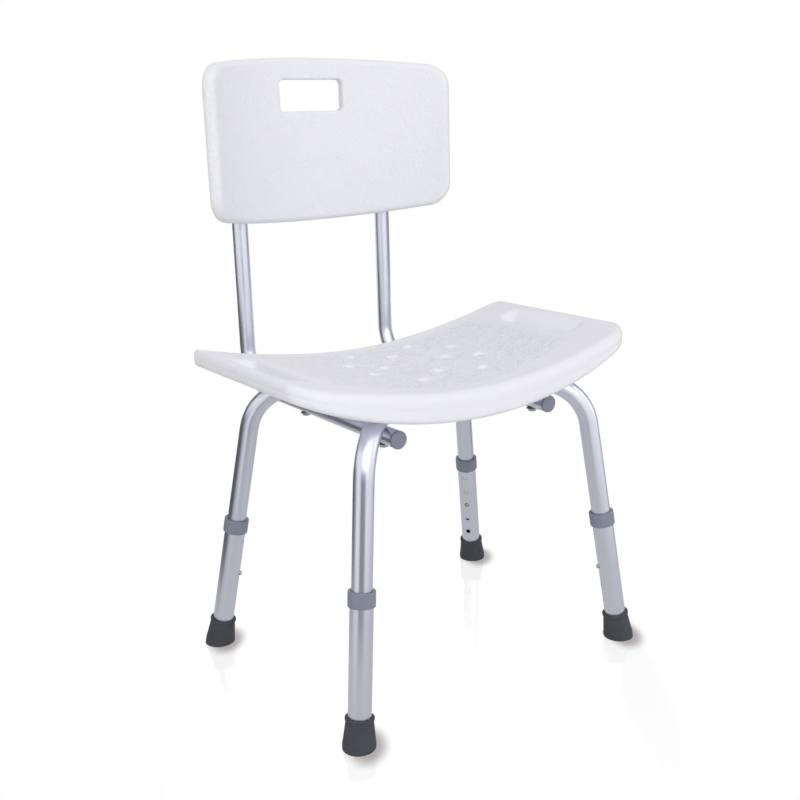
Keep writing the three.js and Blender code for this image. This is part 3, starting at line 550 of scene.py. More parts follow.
def tube_crossing(name):
    """Where the back tube on this side passes under the frame tube of this leg."""
    floor, inward, _, _ = leg_lines(name)
    x = math.copysign(BACK_X, floor.x)
    return Vector((x, floor.y + (x - floor.x) * inward.y / inward.x, 0))


def bend_stations(name):
    """The bend at the top of one leg, from the leg up to the level run."""
    floor, inward, _, _ = leg_lines(name)
    splay = FEET[name][2]
    lean = math.atan(splay)
    middle_height = FRAME_HEIGHT - FRAME_BEND
    reach = splay * middle_height + FRAME_BEND * math.hypot(1, splay)
    middle = floor + inward * reach + UP * middle_height
    stations = []
    for step in range(BEND_STEPS + 1):
        angle = lean + (math.pi / 2 - lean) * step / BEND_STEPS
        point = middle + FRAME_BEND * (UP * math.sin(angle) - inward * math.cos(angle))
        stations.append((point, inward * math.sin(angle) + UP * math.cos(angle)))
    return stations


def frame_tube(name, front, rear, lift):
    """One bent tube over two legs, pressed to half its height where the two tubes cross."""
    floor, inward, axis, _ = leg_lines(front)
    rear_floor, _, rear_axis, _ = leg_lines(rear)
    crossing = crossing_point()
    across = UP.cross(inward)
    half_height = (FRAME_OD - GAP) / 2
    stations = [(floor + axis * FRAME_TAIL, axis)] + bend_stations(front)
    fades = [0.25 * k for k in range(5)]
    marks = [-CROSSING_FLAT - CROSSING_FADE * share for share in reversed(fades)]
    marks += [CROSSING_FLAT + CROSSING_FADE * share for share in fades]
    stations += [(crossing + inward * mark, inward) for mark in marks]
    stations += [(point, -direction) for point, direction in reversed(bend_stations(rear))]
    stations.append((rear_floor + rear_axis * FRAME_TAIL, -rear_axis))

    def press(spot):
        offset = spot - crossing
        reach = max(abs(offset.dot(inward)) - CROSSING_FLAT, 0) / CROSSING_FADE
        reach = min(reach, 1)
        share = 1 - reach * reach * (3 - 2 * reach)
        offset += across * offset.dot(across) * CROSSING_SPREAD * share
        offset.z = offset.z * (1 - (1 - half_height / FRAME_OD) * share) + lift * share
        return crossing + offset

    shape = bent_tube(stations, across, FRAME_OD, FRAME_WALL, press)
    shown(name, shape, ALUMINIUM, "frame", [name])


def leg_tube(name):
    """The lower tube, with a row of locking holes on its inner side."""
    place = leg_place(name)
    rows = 60
    heights = [LEG_FLOOR + (LEG_TOP - LEG_FLOOR) * row / rows for row in range(rows + 1)]
    shape = hollow_sweep([Matrix.Translation((0, 0, height)) for height in heights], LEG_OD, LEG_WALL)
    bmesh.ops.transform(shape, matrix=place, verts=shape.verts)
    piece = shown(f"leg_tube_{name}", shape, ALUMINIUM, f"leg_{name}", [f"leg_tube_{name}"])
    pins = []
    for hole in range(HOLE_COUNT):
        height = BUTTON_HEIGHT + (hole - (HOLE_COUNT - 1) / 2) * HOLE_PITCH
        spot = place @ Matrix.Translation((0, 0, height)) @ Matrix.Rotation(math.pi / 2, 4, "Y")
        radius = HOLE_DIAMETER / 2
        pins.append(turned([(0, 0), (radius, 0), (radius, LEG_OD), (0, LEG_OD)], 32, spot))
    cut_away(piece, joined(*pins))


def collar(name):
    low = COLLAR_TOP - COLLAR_HEIGHT
    bore = LEG_OD / 2 + GAP
    lip = FRAME_OD / 2 + GAP
    outer = COLLAR_OD / 2
    ledge = LEG_TOP + GAP
    profile = [(bore, low), (outer, low), (outer, COLLAR_TOP), (lip, COLLAR_TOP), (lip, ledge), (bore, ledge)]
    shape = turned(profile, 56, leg_place(name), 0.0011, 3)
    shown(f"collar_{name}", shape, GREY_PLASTIC, f"leg_{name}", [f"collar_{name}"])


def foot(name):
    """A tapered rubber ferrule with a rolled lip, cut level at the floor."""
    bore = LEG_OD / 2 + GAP
    base = FOOT_BASE_OD / 2
    neck = FOOT_NECK_OD / 2
    lip = FOOT_LIP_OD / 2
    under_lip = FOOT_HEIGHT - FOOT_LIP_HEIGHT
    profile = [(0, FOOT_SOLE), (bore, FOOT_SOLE), (bore, FOOT_HEIGHT), (lip, FOOT_HEIGHT), (lip, under_lip)]
    profile += [(neck, under_lip - 0.0009), (base - 0.0006, 0.0085), (base, 0.006)]
    profile += [(base, -0.006), (0, -0.006)]
    shape = turned(profile, 56, leg_place(name), 0.0009, 3)
    everything = list(shape.verts) + list(shape.edges) + list(shape.faces)
    sole = bmesh.ops.bisect_plane(
        shape, geom=everything, dist=1e-7, plane_co=(0, 0, 0), plane_no=(0, 0, -1), clear_outer=True,
    )["geom_cut"]
    rim = [g for g in sole if isinstance(g, bmesh.types.BMEdge)]
    bmesh.ops.contextual_create(shape, geom=rim)
    bmesh.ops.recalc_face_normals(shape, faces=shape.faces)
    shown(f"foot_{name}", shape, RUBBER, f"leg_{name}", [f"foot_{name}"])


def snap_button(name):
    """The domed pin that shows in a locking hole, with the flange that stays inside the tube."""
    pin = 0.0032
    tip = LEG_OD / 2 + 0.0028
    dome = 0.0016
    profile = [(0, 0.009), (0.0044, 0.009), (0.0044, 0.0102), (pin, 0.0102)]
    for step in range(7):
        angle = math.pi / 2 * step / 6
        profile.append((pin * math.cos(angle), tip - dome * (1 - math.sin(angle))))
    profile[-1] = (0, tip)
    turn = Matrix.Translation((0, 0, BUTTON_HEIGHT)) @ Matrix.Rotation(math.pi / 2, 4, "Y")
    shape = turned(profile, 32, leg_place(name) @ turn)
    shown(f"snap_button_{name}", shape, STEEL, f"button_{name}", [f"snap_button_{name}"])


# ---- the back tubes ----

BACK_LEVEL = FRAME_HEIGHT - FRAME_OD / 2 - GAP - BACK_OD / 2


def back_tube(name):
    x = SIDES[name] * BACK_X
    middle = Vector((x, BACK_Y - BACK_BEND + MIDDLE_Y, BACK_LEVEL + BACK_BEND))
    stations = [(Vector((x, MIDDLE_Y - BACK_FRONT_END, BACK_LEVEL)), REARWARD)]
    for step in range(BEND_STEPS + 1):
        angle = math.pi / 2 * step / BEND_STEPS
        point = middle + BACK_BEND * (REARWARD * math.sin(angle) - UP * math.cos(angle))
        stations.append((point, REARWARD * math.cos(angle) + UP * math.sin(angle)))
    stations.append((Vector((x, BACK_Y + MIDDLE_Y, BACK_TOP)), UP))
    shape = bent_tube(stations, Vector((1, 0, 0)), BACK_OD, BACK_WALL)
    shown(f"back_tube_{name}", shape, ALUMINIUM, "frame", [f"back_tube_{name}"])


def plug(name, origin, direction):
    cap = BACK_OD / 2 + GAP
    stem = BACK_OD / 2 - BACK_WALL - GAP
    profile = [(0, -0.014), (stem, -0.014), (stem, GAP), (cap, GAP), (cap, 0.004), (0, 0.004)]
    shape = turned(profile, 48, standing(origin, direction), 0.0009, 3)
    shown(name, shape, GREY_PLASTIC, "frame", [name])


# ---- the seat ----

def seat_top(x):
    return SEAT_MID_HEIGHT + SEAT_RISE * abs(x / SEAT_HALF_LENGTH) ** SEAT_RISE_POWER


def seat_thickness(x):
    share = abs(x / SEAT_HALF_LENGTH) ** 3
    return SEAT_MID_THICKNESS + (SEAT_END_THICKNESS - SEAT_MID_THICKNESS) * share


def smooth_step(value):
    value = min(max(value, 0), 1)
    return value * value * (3 - 2 * value)


def pocket_share(x, y):
    """How deep a grip pocket is here, from 0 at its rim to 1 on its floor. Its ends are rounded in plan."""
    middle = (POCKET_INNER_X + POCKET_OUTER_X) / 2
    half_wide = (POCKET_OUTER_X - POCKET_INNER_X) / 2
    past_x = abs(x) - middle
    past_y = max(abs(y) - (POCKET_HALF_LENGTH - half_wide), 0)
    from_inner = half_wide - math.hypot(min(past_x, 0), past_y)
    from_outer = half_wide + POCKET_OUTER_EXTRA - math.hypot(max(past_x, 0), past_y)
    from_end = POCKET_HALF_LENGTH + POCKET_END_EXTRA - abs(y)
    walls = (from_inner, POCKET_INNER_WALL), (from_outer, POCKET_OUTER_WALL), (from_end, POCKET_END_WALL)
    return math.prod(smooth_step(distance / wall) for distance, wall in walls)


def grid_lines(half_size, rounding, steps, stretches):
    """Grid lines over one way of the seat: fine over its rounded edges, then in stretches to the middle."""
    lines = [rounding * (1 - math.cos(math.pi / 2 * k / steps)) - half_size for k in range(steps)]
    start = rounding - half_size
    for end, count in stretches:
        lines += [start + (end - start) * k / count for k in range(count)]
        start = end
    return lines + [start] + [-line for line in reversed(lines)]


def seat_lines():
    """Where the seat's grid lines run along X and Y, closer at its edges, pocket walls and recess."""
    end_round = SEAT_TOP_ROUND * SEAT_END_ROUND_SHARE
    along = grid_lines(SEAT_HALF_LENGTH, end_round, 7, SEAT_STRETCHES_ALONG)
    rows = grid_lines(SEAT_HALF_DEPTH, SEAT_TOP_ROUND, 9, SEAT_STRETCHES_ACROSS)
    return along, rows


def seat_bow(x, y):
    """How far the seat's front bows out here. The rear stays straight."""
    return min(y / SEAT_HALF_DEPTH, 0) * SEAT_FRONT_BOW * (1 - (x / SEAT_HALF_LENGTH) ** 2)


def seat_corner(x, y):
    """How far a point is past the corner's centre both ways, and that corner's radius."""
    corner = SEAT_REAR_CORNER if y > 0 else SEAT_FRONT_CORNER
    return abs(x) - (SEAT_HALF_LENGTH - corner), abs(y) - (SEAT_HALF_DEPTH - corner), corner


def seat_plan(x, y):
    """Moves a point of the plain rectangle onto the seat's outline: rounded corners and a bowed front."""
    over_x, over_y, corner = seat_corner(x, y)
    if over_x > 0 and over_y > 0:
        reach = max(over_x, over_y) / math.hypot(over_x, over_y)
        x = math.copysign(SEAT_HALF_LENGTH - corner + over_x * reach, x)
        y = math.copysign(SEAT_HALF_DEPTH - corner + over_y * reach, y)
    return x, y + seat_bow(x, y)


def seat_outward(x, y):
    """The way out of the seat, level, from a point on its edge."""
    over_x, over_y, _ = seat_corner(x, y - seat_bow(x, y))
    return Vector((math.copysign(max(over_x, 0), x), math.copysign(max(over_y, 0), y), 0)).normalized()


def edge_drop(x, y, rounding):
    """How far the rounded edge has dropped from the face here. The rounding is smaller at the seat's ends."""
    over_x, over_y, corner = seat_corner(x, y)
    inset = corner - max(over_x, over_y, 0)
    toward_end = smooth_step(0.5 + (over_x - over_y) / corner)
    width = rounding * (1 + (SEAT_END_ROUND_SHARE - 1) * toward_end)
    share = abs(x / SEAT_HALF_LENGTH) ** 3
    height = rounding * (1 + (SEAT_END_DROP_SHARE - 1) * share)
    short = max(1 - inset / width, 0)
    return height * (1 - math.sqrt(1 - short * short))


def seat_face(shape, height_of):
    """One face of the seat as a grid over its outline, with its boundary loop."""
    along, rows = seat_lines()
    made = bmesh.ops.create_grid(shape, x_segments=len(along) - 1, y_segments=len(rows) - 1, size=1)["verts"]
    for corner in made:
        flat_x = along[round((corner.co.x + 1) / 2 * (len(along) - 1))]
        flat_y = rows[round((corner.co.y + 1) / 2 * (len(rows) - 1))]
        x, y = seat_plan(flat_x, flat_y)
        corner.co = (x, y + MIDDLE_Y, height_of(x, y, flat_x, flat_y))
    return list({e for v in made for e in v.link_edges if e.is_boundary})


def top_height(x, y, flat_x, flat_y):
    return seat_top(x) - edge_drop(flat_x, flat_y, SEAT_TOP_ROUND) - POCKET_DEPTH * pocket_share(x, y)


def under_height(x, y, flat_x, flat_y):
    """The underside: a lip all round, and a flat recess over the crossed tubes."""
    lip = seat_top(x) - seat_thickness(x) + edge_drop(flat_x, flat_y, SEAT_UNDER_ROUND)
    reach = max(abs(x) - RECESS_HALF_LENGTH, abs(y) - RECESS_HALF_DEPTH)
    return lip + (RECESS_TOP - lip) * smooth_step(-reach / RECESS_WALL)


def drain_cutter(x, y):
    """A drain hole with a shallow countersunk mouth, square to the seat's face."""
    radius = DRAIN_DIAMETER / 2
    below, above = -0.05, 0.004
    profile = [(0, below), (radius, below), (radius, -DRAIN_MOUTH_DEPTH), (radius + DRAIN_MOUTH_WIDTH, 0)]
    profile += [(radius + DRAIN_MOUTH_WIDTH * 1.6, above), (0, above)]
    slope = (seat_top(x + 0.001) - seat_top(x - 0.001)) / 0.002
    square = Vector((-slope, 0, 1)).normalized()
    return turned(profile, 28, standing(Vector((x, y + MIDDLE_Y, seat_top(x))), square))


def parting_wall(shape, upper, lower):
    """The seat's outer wall, with the faint groove where the two halves of its mould met."""
    low_ends = {(round(v.co.x, 6), round(v.co.y, 6)): v.co.copy() for e in lower for v in e.verts}
    known = {}
    for corner in {v for e in upper for v in e.verts}:
        high_end = corner.co.copy()
        known[corner] = high_end, low_ends[(round(high_end.x, 6), round(high_end.y, 6))]
    edges = upper
    for share, depth in PARTING_GROOVE:
        edges, corners = next_loop(shape, edges)
        ends = {corner: known[drawn_from(corner, known)] for corner in corners}
        for corner, (high_end, low_end) in ends.items():
            outward = seat_outward(high_end.x, high_end.y - MIDDLE_Y)
            corner.co = high_end.lerp(low_end, share) - depth * outward
        known = ends
    bmesh.ops.bridge_loops(shape, edges=edges + lower)


def seat():
    shape = bmesh.new()
    upper = seat_face(shape, top_height)
    before = set(shape.faces)
    lower = seat_face(shape, under_height)
    bmesh.ops.reverse_faces(shape, faces=[f for f in shape.faces if f not in before])
    parting_wall(shape, upper, lower)
    bmesh.ops.recalc_face_normals(shape, faces=shape.faces)
    piece = shown("saddle_seat", shape, SEAT_WHITE, "frame", ["seat"], 50)
    cut_away(piece, joined(*[drain_cutter(x, y) for x, y in drain_spots()]), 50)


# ---- the back panel ----

PANEL_REAR_Y = BACK_Y + MIDDLE_Y - BACK_OD / 2 - GAP - PANEL_BOSS_LENGTH
PANEL_CENTRE_Y = PANEL_REAR_Y - math.sqrt((PANEL_RADIUS + PANEL_THICKNESS) ** 2 - BACK_X ** 2)
PANEL_HALF_ARC = PANEL_RADIUS * math.asin(PANEL_HALF_WIDTH / PANEL_RADIUS)
PANEL_MIDDLE = (PANEL_BOTTOM + PANEL_TOP) / 2
RING_CORNERS = 240


def rounded_spot(share, half_wide, half_high, corner):
    """A point on a rounded rectangle, at the same share of the way round as on any other one."""
    wide, high = half_wide - corner, half_high - corner
    # The four straight sides each take a fixed part of the way round, and so do the corners
    part = share * 8
    index = int(part) % 8
    along = part - int(part)
    centres = [(wide, high), (-wide, high), (-wide, -high), (wide, -high)]
    quarter, straight = index // 2, index % 2
    x, y = centres[quarter]
    if straight == 0:
        angle = math.pi / 2 * (quarter + along)
        return x + corner * math.cos(angle), y + corner * math.sin(angle)
    angle = math.pi / 2 * (quarter + 1)
    next_x, next_y = centres[(quarter + 1) % 4]
    x += (next_x - x) * along + corner * math.cos(angle)
    y += (next_y - y) * along + corner * math.sin(angle)
    return x, y


def panel_outline(share, inset):
    half = (PANEL_TOP - PANEL_BOTTOM) / 2 - inset
    length = PANEL_HALF_ARC - inset
    along, rise = rounded_spot(share, length, half, PANEL_CORNER - inset)
    arch = PANEL_TOP_ARCH if rise > 0 else PANEL_BOTTOM_ARCH
    return along, rise + arch * (rise / half) * (1 - (along / length) ** 2)


def slot_outline(share, grow):
    half_high = SLOT_HEIGHT / 2
    along, rise = rounded_spot(share, SLOT_HALF_WIDTH + grow, half_high + grow, SLOT_CORNER + grow)
    # The slot's sides are straight in X, as its cutter in the solids was
    along = PANEL_RADIUS * math.asin(along / PANEL_RADIUS)
    return along, SLOT_BOTTOM + half_high - PANEL_MIDDLE + rise


def panel_point(along, rise, depth):
    angle = along / PANEL_RADIUS
    radius = PANEL_RADIUS + depth
    return Vector((radius * math.sin(angle), PANEL_CENTRE_Y + radius * math.cos(angle), PANEL_MIDDLE + rise))


def panel_rings():
    """Rings from the slot's wall over the front, round the edge, over the rear and back into the slot."""
    quarter = [math.pi / 2 * k / 6 for k in range(7)]
    around = [k / RING_CORNERS for k in range(RING_CORNERS)]
    rings = []

    def slot_ring(grow, depth):
        rings.append([panel_point(*slot_outline(share, grow), depth) for share in around])

    def edge_ring(inset, depth):
        rings.append([panel_point(*panel_outline(share, inset), depth) for share in around])

    def face_rings(depth, shares):
        for blend in shares:
            ring = []
            for share in around:
                inner = Vector(slot_outline(share, SLOT_ROUND))
                outer = Vector(panel_outline(share, PANEL_ROUND))
                ring.append(panel_point(*inner.lerp(outer, blend), depth))
            rings.append(ring)

    shares = [k / 32 for k in range(1, 32)]
    for angle in quarter:
        slot_ring(SLOT_ROUND * (1 - math.cos(angle)), SLOT_ROUND * (1 - math.sin(angle)))
    face_rings(0, shares)
    for angle in quarter:
        edge_ring(PANEL_ROUND * (1 - math.sin(angle)), PANEL_ROUND * (1 - math.cos(angle)))
    for angle in reversed(quarter):
        edge_ring(PANEL_ROUND * (1 - math.sin(angle)), PANEL_THICKNESS - PANEL_ROUND * (1 - math.cos(angle)))
    face_rings(PANEL_THICKNESS, reversed(shares))
    for angle in reversed(quarter):
        slot_ring(SLOT_ROUND * (1 - math.cos(angle)), PANEL_THICKNESS - SLOT_ROUND * (1 - math.sin(angle)))
    return rings


def back_panel():
    shape = bmesh.new()
    order = bmesh.ops.create_circle(shape, cap_ends=False, radius=1, segments=RING_CORNERS)["verts"]
    order = sorted(order, key=lambda v: math.atan2(v.co.y, v.co.x) % math.tau)
    edges = list({e for v in order for e in v.link_edges})
    rings = panel_rings()
    for corner, spot in zip(order, rings[0]):
        corner.co = spot
    for ring in rings[1:] + rings[:1]:
        where = {corner: k for k, corner in enumerate(order)}
        edges, corners = next_loop(shape, edges)
        for corner in corners:
            order[where[drawn_from(corner, where)]] = corner
        for corner, spot in zip(order, ring):
            corner.co = spot
    bmesh.ops.remove_doubles(shape, verts=shape.verts, dist=1e-5)
    bmesh.ops.recalc_face_normals(shape, faces=shape.faces)
    bosses = []
    for height in PANEL_SCREW_HEIGHTS.values():
        for hand in SIDES.values():
            bosses.append(panel_boss(hand * BACK_X, height))
    whole = joined(shape, *bosses)
    shown("curved_back_panel", whole, PANEL_WHITE, "frame", ["back_panel"], 50)


def panel_boss(x, height):
    """A round foot on the panel's rear that meets a back tube, with a soft foot of its own."""
    start = BACK_OD / 2 + GAP
    profile = [(0, start), (BOSS_RADIUS, start), (BOSS_RADIUS, start + PANEL_BOSS_LENGTH)]
    profile += [(BOSS_RADIUS + 0.0004, start + 0.0062), (BOSS_BASE_RADIUS, start + 0.008)]
    profile += [(BOSS_BASE_RADIUS, start + 0.013), (0, start + 0.013)]
    place = standing(Vector((x, BACK_Y + MIDDLE_Y, height)), -REARWARD)
    return turned(profile, 40, place, 0.0006)


# ---- fasteners ----

def frame_fasteners(name):
    """The hexagon bolt and washer under a back tube."""
    spot = tube_crossing(name)
    washer_top = BACK_LEVEL - BACK_OD / 2 - GAP
    washer_low = washer_top - WASHER_HEIGHT
    head_top = washer_low - GAP
    head_low = head_top - BOLT_HEAD_HEIGHT
    corner = BOLT_ACROSS_FLATS / math.cos(math.pi / 6) / 2
    head = turned([(0, head_low), (corner, head_low), (corner, head_top), (0, head_top)], 6, ease=0.0005)
    low, high = head_top - 0.002, RECESS_TOP + BOLT_ABOVE_RECESS
    shank = turned([(0, low), (BOLT_RADIUS, low), (BOLT_RADIUS, high), (0, high)], 20)
    bolt = joined(head, shank)
    bmesh.ops.translate(bolt, vec=spot, verts=bolt.verts)
    shown(f"frame_bolt_{name}", bolt, STEEL, "frame", [f"frame_bolt_{name}"], 30)
    bore, outer = WASHER_BORE_RADIUS, WASHER_RADIUS
    ring = [(bore, washer_low), (outer, washer_low), (outer, washer_top), (bore, washer_top)]
    washer = turned(ring, 40, Matrix.Translation(spot), 0.0002)
    shown(f"frame_washer_{name}", washer, STEEL, "frame", [f"frame_washer_{name}"], 30)


def panel_screw(name, x, height):
    """A pan-head screw from behind, with a hexagon socket."""
    face = BACK_OD / 2 + GAP
    top = -face - SCREW_HEAD_HEIGHT
    profile = [(0, top), (SCREW_HEAD_RADIUS - 0.0012, top), (SCREW_HEAD_RADIUS, top + 0.0012)]
    profile += [(SCREW_HEAD_RADIUS, -face), (SCREW_RADIUS, -face), (SCREW_RADIUS, face + SCREW_LENGTH)]
    profile.append((0, face + SCREW_LENGTH))
    place = standing(Vector((x, BACK_Y + MIDDLE_Y, height)), -REARWARD)
    shape = turned(profile, 40, place, 0.0003)
    piece = shown(f"panel_screw_{name}", shape, STEEL, "frame", [f"panel_screw_{name}"], 30)
    mouth, bottom = top - 0.0008, -face - SOCKET_FLOOR
    socket = [(0, mouth), (SOCKET_RADIUS, mouth), (SOCKET_RADIUS, bottom), (0, bottom)]
    cut_away(piece, turned(socket, 6, place), 30)


def centre_rivet():
    """The rivet through both pressed tubes, with a domed head above and below."""
    reach = FRAME_OD / 2 + GAP
    dome = [(RIVET_RADIUS, reach), (RIVET_HEAD_RADIUS, reach)]
    dome += [(RIVET_HEAD_RADIUS - 0.002, reach + RIVET_HEAD_HEIGHT - 0.0002), (0, reach + RIVET_HEAD_HEIGHT)]
    profile = [(radius, -height) for radius, height in reversed(dome)] + dome
    shape = turned(profile, 32, standing(crossing_point(), UP), 0.0003)
    shown("centre_rivet", shape, STEEL, "frame", ["centre_rivet"])


# ---- the whole stool ----

def stool():
    lift = ((FRAME_OD - GAP) / 2 + GAP) / 2
    frame_tube("frame_tube_over", "front_right", "rear_left", lift)
    frame_tube("frame_tube_under", "front_left", "rear_right", -lift)
    centre_rivet()
    for name in FEET:
        leg_tube(name)
        collar(name)
        foot(name)
        snap_button(name)
        frame_fasteners(name)
    for name, hand in SIDES.items():
        back_tube(name)
        x = hand * BACK_X
        plug(f"front_plug_{name}", Vector((x, MIDDLE_Y - BACK_FRONT_END, BACK_LEVEL)), -REARWARD)
        plug(f"top_plug_{name}", Vector((x, BACK_Y + MIDDLE_Y, BACK_TOP)), UP)
        for level, height in PANEL_SCREW_HEIGHTS.items():
            panel_screw(f"{level}_{name}", x, height)
    seat()
    back_panel()


def finish_hidden_nodes():
    """The CAD nodes that stay get finished materials too."""
    for name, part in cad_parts.items():
        if part.hide_render:
            continue
        part.data.materials.clear()
        part.data.materials.append(BRASS if "insert" in name else STEEL)


# ---- floor, light and camera ----

def ray_kinds(tree):
    """1 for the rays that look at the background: camera and transmitted ones, and glossy ones."""
    rays = tree.nodes.new("ShaderNodeLightPath").outputs
    seen = worked_out(tree, "MAXIMUM", rays["Is Camera Ray"], rays["Is Transmission Ray"])
    return seen, rays["Is Glossy Ray"]


def stage_sheet(name, shape, material):
    """A sheet that belongs to the surroundings."""
    mesh = bpy.data.meshes.new(name)
    shape.to_mesh(mesh)
    shape.free()
    sheet = bpy.data.objects.new(name, mesh)
    bpy.context.scene.collection.objects.link(sheet)
    mesh.materials.append(material)


# The way the camera looks, level with the floor
VIEW_WAY = (0.579, 0.815)


def nearest_foot(tree, nearer, aside, shape):
    """How far a point of the floor is from a spot that lies this much nearer than a foot, or aside of it."""
    turn = (0, 0, -math.atan2(VIEW_WAY[1], VIEW_WAY[0]))
    spot = node(tree, "ShaderNodeMapping", {"Vector": place_on_object(tree), "Rotation": turn}).outputs[0]
    nearest = None
    for x, y, _, _ in FEET.values():
        along = x * VIEW_WAY[0] + (y + MIDDLE_Y) * VIEW_WAY[1] - nearer
        across = (y + MIDDLE_Y) * VIEW_WAY[0] - x * VIEW_WAY[1] - aside
        off = node(tree, "ShaderNodeVectorMath", {0: spot, 1: (along, across, 0)}, operation="SUBTRACT")
        off = node(tree, "ShaderNodeVectorMath", {0: off.outputs[0], 1: shape}, operation="MULTIPLY")
        away = node(tree, "ShaderNodeVectorMath", {0: off.outputs[0]}, operation="LENGTH").outputs["Value"]
        nearest = away if nearest is None else worked_out(tree, "MINIMUM", nearest, away)
    return nearest


def floor():
    """A polished white floor that shows the shadow and mirror image of each foot, plus a painted shadow drawn
    beside each foot, and is elsewhere plain white to the camera. To gloss it glows, dimmer near the stool: a
    painted reflection.
    """
    shape = bmesh.new()
    bmesh.ops.create_circle(shape, cap_ends=True, radius=9.0, segments=96)
    material, tree, shader = tree_of("studio_floor")
    seen, glossy = ray_kinds(tree)
    two_tone(tree, shader, seen, (0.86, 0.86, 0.865), (0.34, 0.34, 0.34))
    shader.inputs["Roughness"].default_value = 0.07
    shader.inputs["IOR"].default_value = 1.8
    glow = worked_out(tree, "MULTIPLY", seen, 0.66)
    lift = node(tree, "ShaderNodeEmission", {"Color": (1, 1, 1, 1), "Strength": glow})
    near = node(tree, "ShaderNodeAddShader", {0: shader.outputs[0], 1: lift.outputs[0]}).outputs[0]
    white = node(tree, "ShaderNodeEmission", {"Color": (1, 1, 1, 1), "Strength": 1.0}).outputs[0]
    plain = ranged(tree, nearest_foot(tree, 0.11, 0, (0.30, 2.5, 1)), 0.055, 0.09, 0.0, 1.0, "SMOOTHSTEP")
    plain = worked_out(tree, "MULTIPLY", plain, seen)
    looked_at = node(tree, "ShaderNodeMixShader", {0: plain, 1: near, 2: white}).outputs[0]
    # Painted shadow: a warm grey patch drawn just aside of each foot, over the floor that the camera sees.
    shade = ranged(tree, nearest_foot(tree, 0, 0.010, (0.6, 1, 1)), 0.013, 0.031, 0.75, 0.0, "SMOOTHSTEP")
    shade = worked_out(tree, "MULTIPLY", shade, seen)
    painted_shadow_grey = node(tree, "ShaderNodeEmission", {"Color": (0.30, 0.26, 0.26, 1), "Strength": 1.0}).outputs[0]
    looked_at = node(tree, "ShaderNodeMixShader", {0: shade, 1: looked_at, 2: painted_shadow_grey}).outputs[0]
    # Painted reflection: to glossy rays the floor is a glow, dimmer near the stool, that stands in for the
    # shaded floor seen in the tubes.
    away = node(tree, "ShaderNodeVectorMath", {0: place_on_object(tree)}, operation="LENGTH").outputs["Value"]
    tone = ranged(tree, away, 0.5, 1.9, 0.58, 1.0, "SMOOTHSTEP")
    mirrored = node(tree, "ShaderNodeEmission", {"Color": (1, 1, 1, 1), "Strength": tone}).outputs[0]
    mixed = node(tree, "ShaderNodeMixShader", {0: glossy, 1: looked_at, 2: mirrored}).outputs[0]
    tree.links.new(mixed, tree.nodes["Material Output"].inputs["Surface"])
    stage_sheet("studio_floor", shape, material)


def dark_card(name, turn, distance, rise, tone):
    """A curved dark card round part of the stool, that only the reflections in tubes and gloss show."""
    shape = bmesh.new()
    made = bmesh.ops.create_grid(shape, x_segments=16, y_segments=1, size=0.5)["verts"]
    for corner in made:
        angle = math.radians(turn[0] + (turn[1] - turn[0]) * (corner.co.x + 0.5))
        upward = rise[0] + (rise[1] - rise[0]) * (corner.co.y + 0.5)
        corner.co = (distance * math.cos(angle), distance * math.sin(angle), upward)
    material, tree, _ = tree_of(name)
    colour = (tone, tone, tone * 1.08, 1)
    dark = node(tree, "ShaderNodeEmission", {"Color": colour, "Strength": 1.0}).outputs[0]
    clear = node(tree, "ShaderNodeBsdfTransparent").outputs[0]
    mixed = node(tree, "ShaderNodeMixShader", {0: ray_kinds(tree)[1], 1: clear, 2: dark}).outputs[0]
    tree.links.new(mixed, tree.nodes["Material Output"].inputs["Surface"])
    stage_sheet(name, shape, material)


def lamp(name, spot, target, size, power, mirrored=True):
    """A square-cornered lamp at a spot, turned to its target. Where it isn't mirrored, gloss leaves it out."""
    light = bpy.data.lights.new(name, "AREA")
    light.shape = "RECTANGLE"
    light.size, light.size_y = size
    light.energy = power
    holder = bpy.data.objects.new(name, light)
    bpy.context.scene.collection.objects.link(holder)
    holder.visible_glossy = mirrored
    holder.matrix_world = standing(Vector(spot), (Vector(spot) - Vector(target)).normalized())


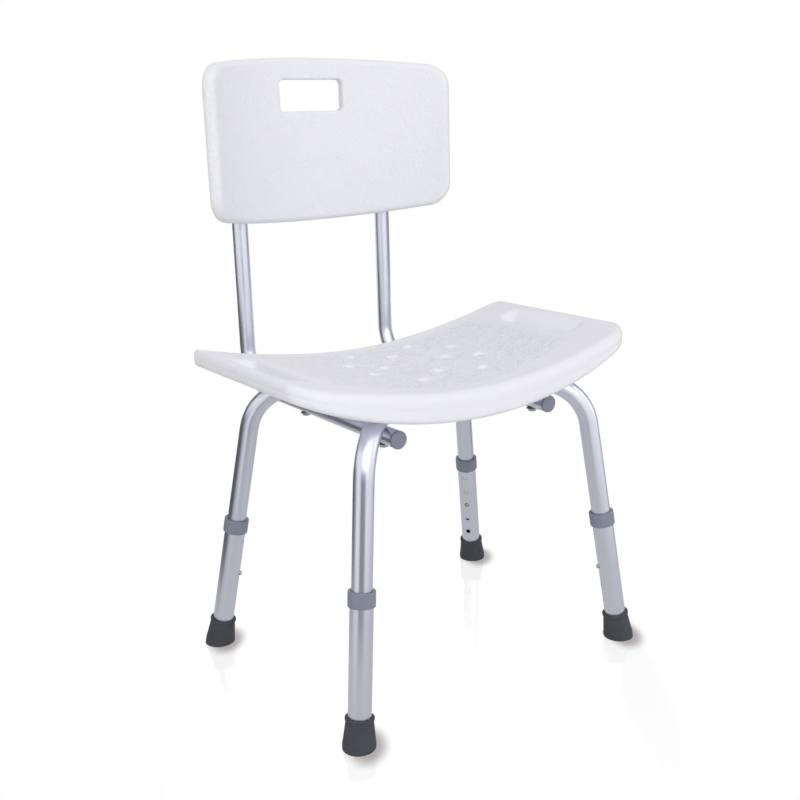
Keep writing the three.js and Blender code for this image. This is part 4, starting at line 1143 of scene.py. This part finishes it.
def surroundings():
    world = bpy.data.worlds.new("studio")
    bpy.context.scene.world = world
    world.use_nodes = True
    tree = world.node_tree
    tree.nodes.clear()
    direction = tree.nodes.new("ShaderNodeTexCoord").outputs["Generated"]
    height = node(tree, "ShaderNodeSeparateXYZ", {"Vector": direction}).outputs["Z"]
    glow = ranged(tree, height, -0.1, 0.9, 0.69, 0.65)
    lit = node(tree, "ShaderNodeBackground", {"Color": (1, 1, 1, 1), "Strength": glow}).outputs[0]
    white = node(tree, "ShaderNodeBackground", {"Color": (1, 1, 1, 1), "Strength": 1.0}).outputs[0]
    share = worked_out(tree, "MAXIMUM", *ray_kinds(tree))
    mixed = node(tree, "ShaderNodeMixShader", {0: share, 1: lit, 2: white}).outputs[0]
    output = tree.nodes.new("ShaderNodeOutputWorld")
    tree.links.new(mixed, output.inputs["Surface"])


def camera():
    yaw, pitch, roll = (math.radians(angle) for angle in (-35.39, 15.32, -1.52))
    back = Vector((math.sin(yaw) * math.cos(pitch), -math.cos(yaw) * math.cos(pitch), math.sin(pitch)))
    right = Vector((math.cos(yaw), math.sin(yaw), 0))
    above = back.cross(right)
    level = right * math.cos(roll) + above * math.sin(roll)
    above = above * math.cos(roll) - right * math.sin(roll)
    eye = bpy.data.cameras.new("camera")
    eye.sensor_fit = "HORIZONTAL"
    eye.sensor_width = 36.0
    eye.lens = 36.0 * 1043 / 800
    holder = bpy.data.objects.new("camera", eye)
    bpy.context.scene.collection.objects.link(holder)
    turn = Matrix((level, above, back)).transposed()
    holder.matrix_world = Matrix.LocRotScale(Vector((-0.80430, -1.09324 + MIDDLE_Y, 0.72452)), turn, None)
    bpy.context.scene.camera = holder


stool()
finish_hidden_nodes()
floor()
dark_card("card_front", (211, 247), 0.75, (0.05, 0.5), 0.20)
dark_card("card_left", (163, 182), 0.62, (0.002, 0.4), 0.45)
dark_card("card_rear_left", (105, 163), 0.62, (0.002, 0.4), 0.10)
dark_card("card_rear_left_high", (106, 142), 0.62, (0.4, 0.9), 0.15)
dark_card("card_right", (-25, 12), 0.62, (0.002, 0.9), 0.35)
dark_card("card_right_high", (12, 45), 0.62, (0.42, 0.9), 0.35)
surroundings()
lamp("key", (-0.35, -2.2, 1.7), (0, 0, 0.4), (1.3, 1.1), 15.8)
lamp("side", (-1.3, -1.7, 1.9), (0, 0, 0.4), (1.2, 1.2), 9)
lamp("fill", (1.9, -1.1, 1.1), (0, 0, 0.35), (1.0, 1.6), 3)
lamp("left", (-2.0, 0.4, 0.62), (0, 0, 0.4), (1.0, 1.0), 2.8, False)
lamp("top", (0, 0.2, 2.2), (0, 0, 0.4), (1.0, 1.0), 1.1, False)
camera()
bpy.context.scene.view_settings.view_transform = "Standard"
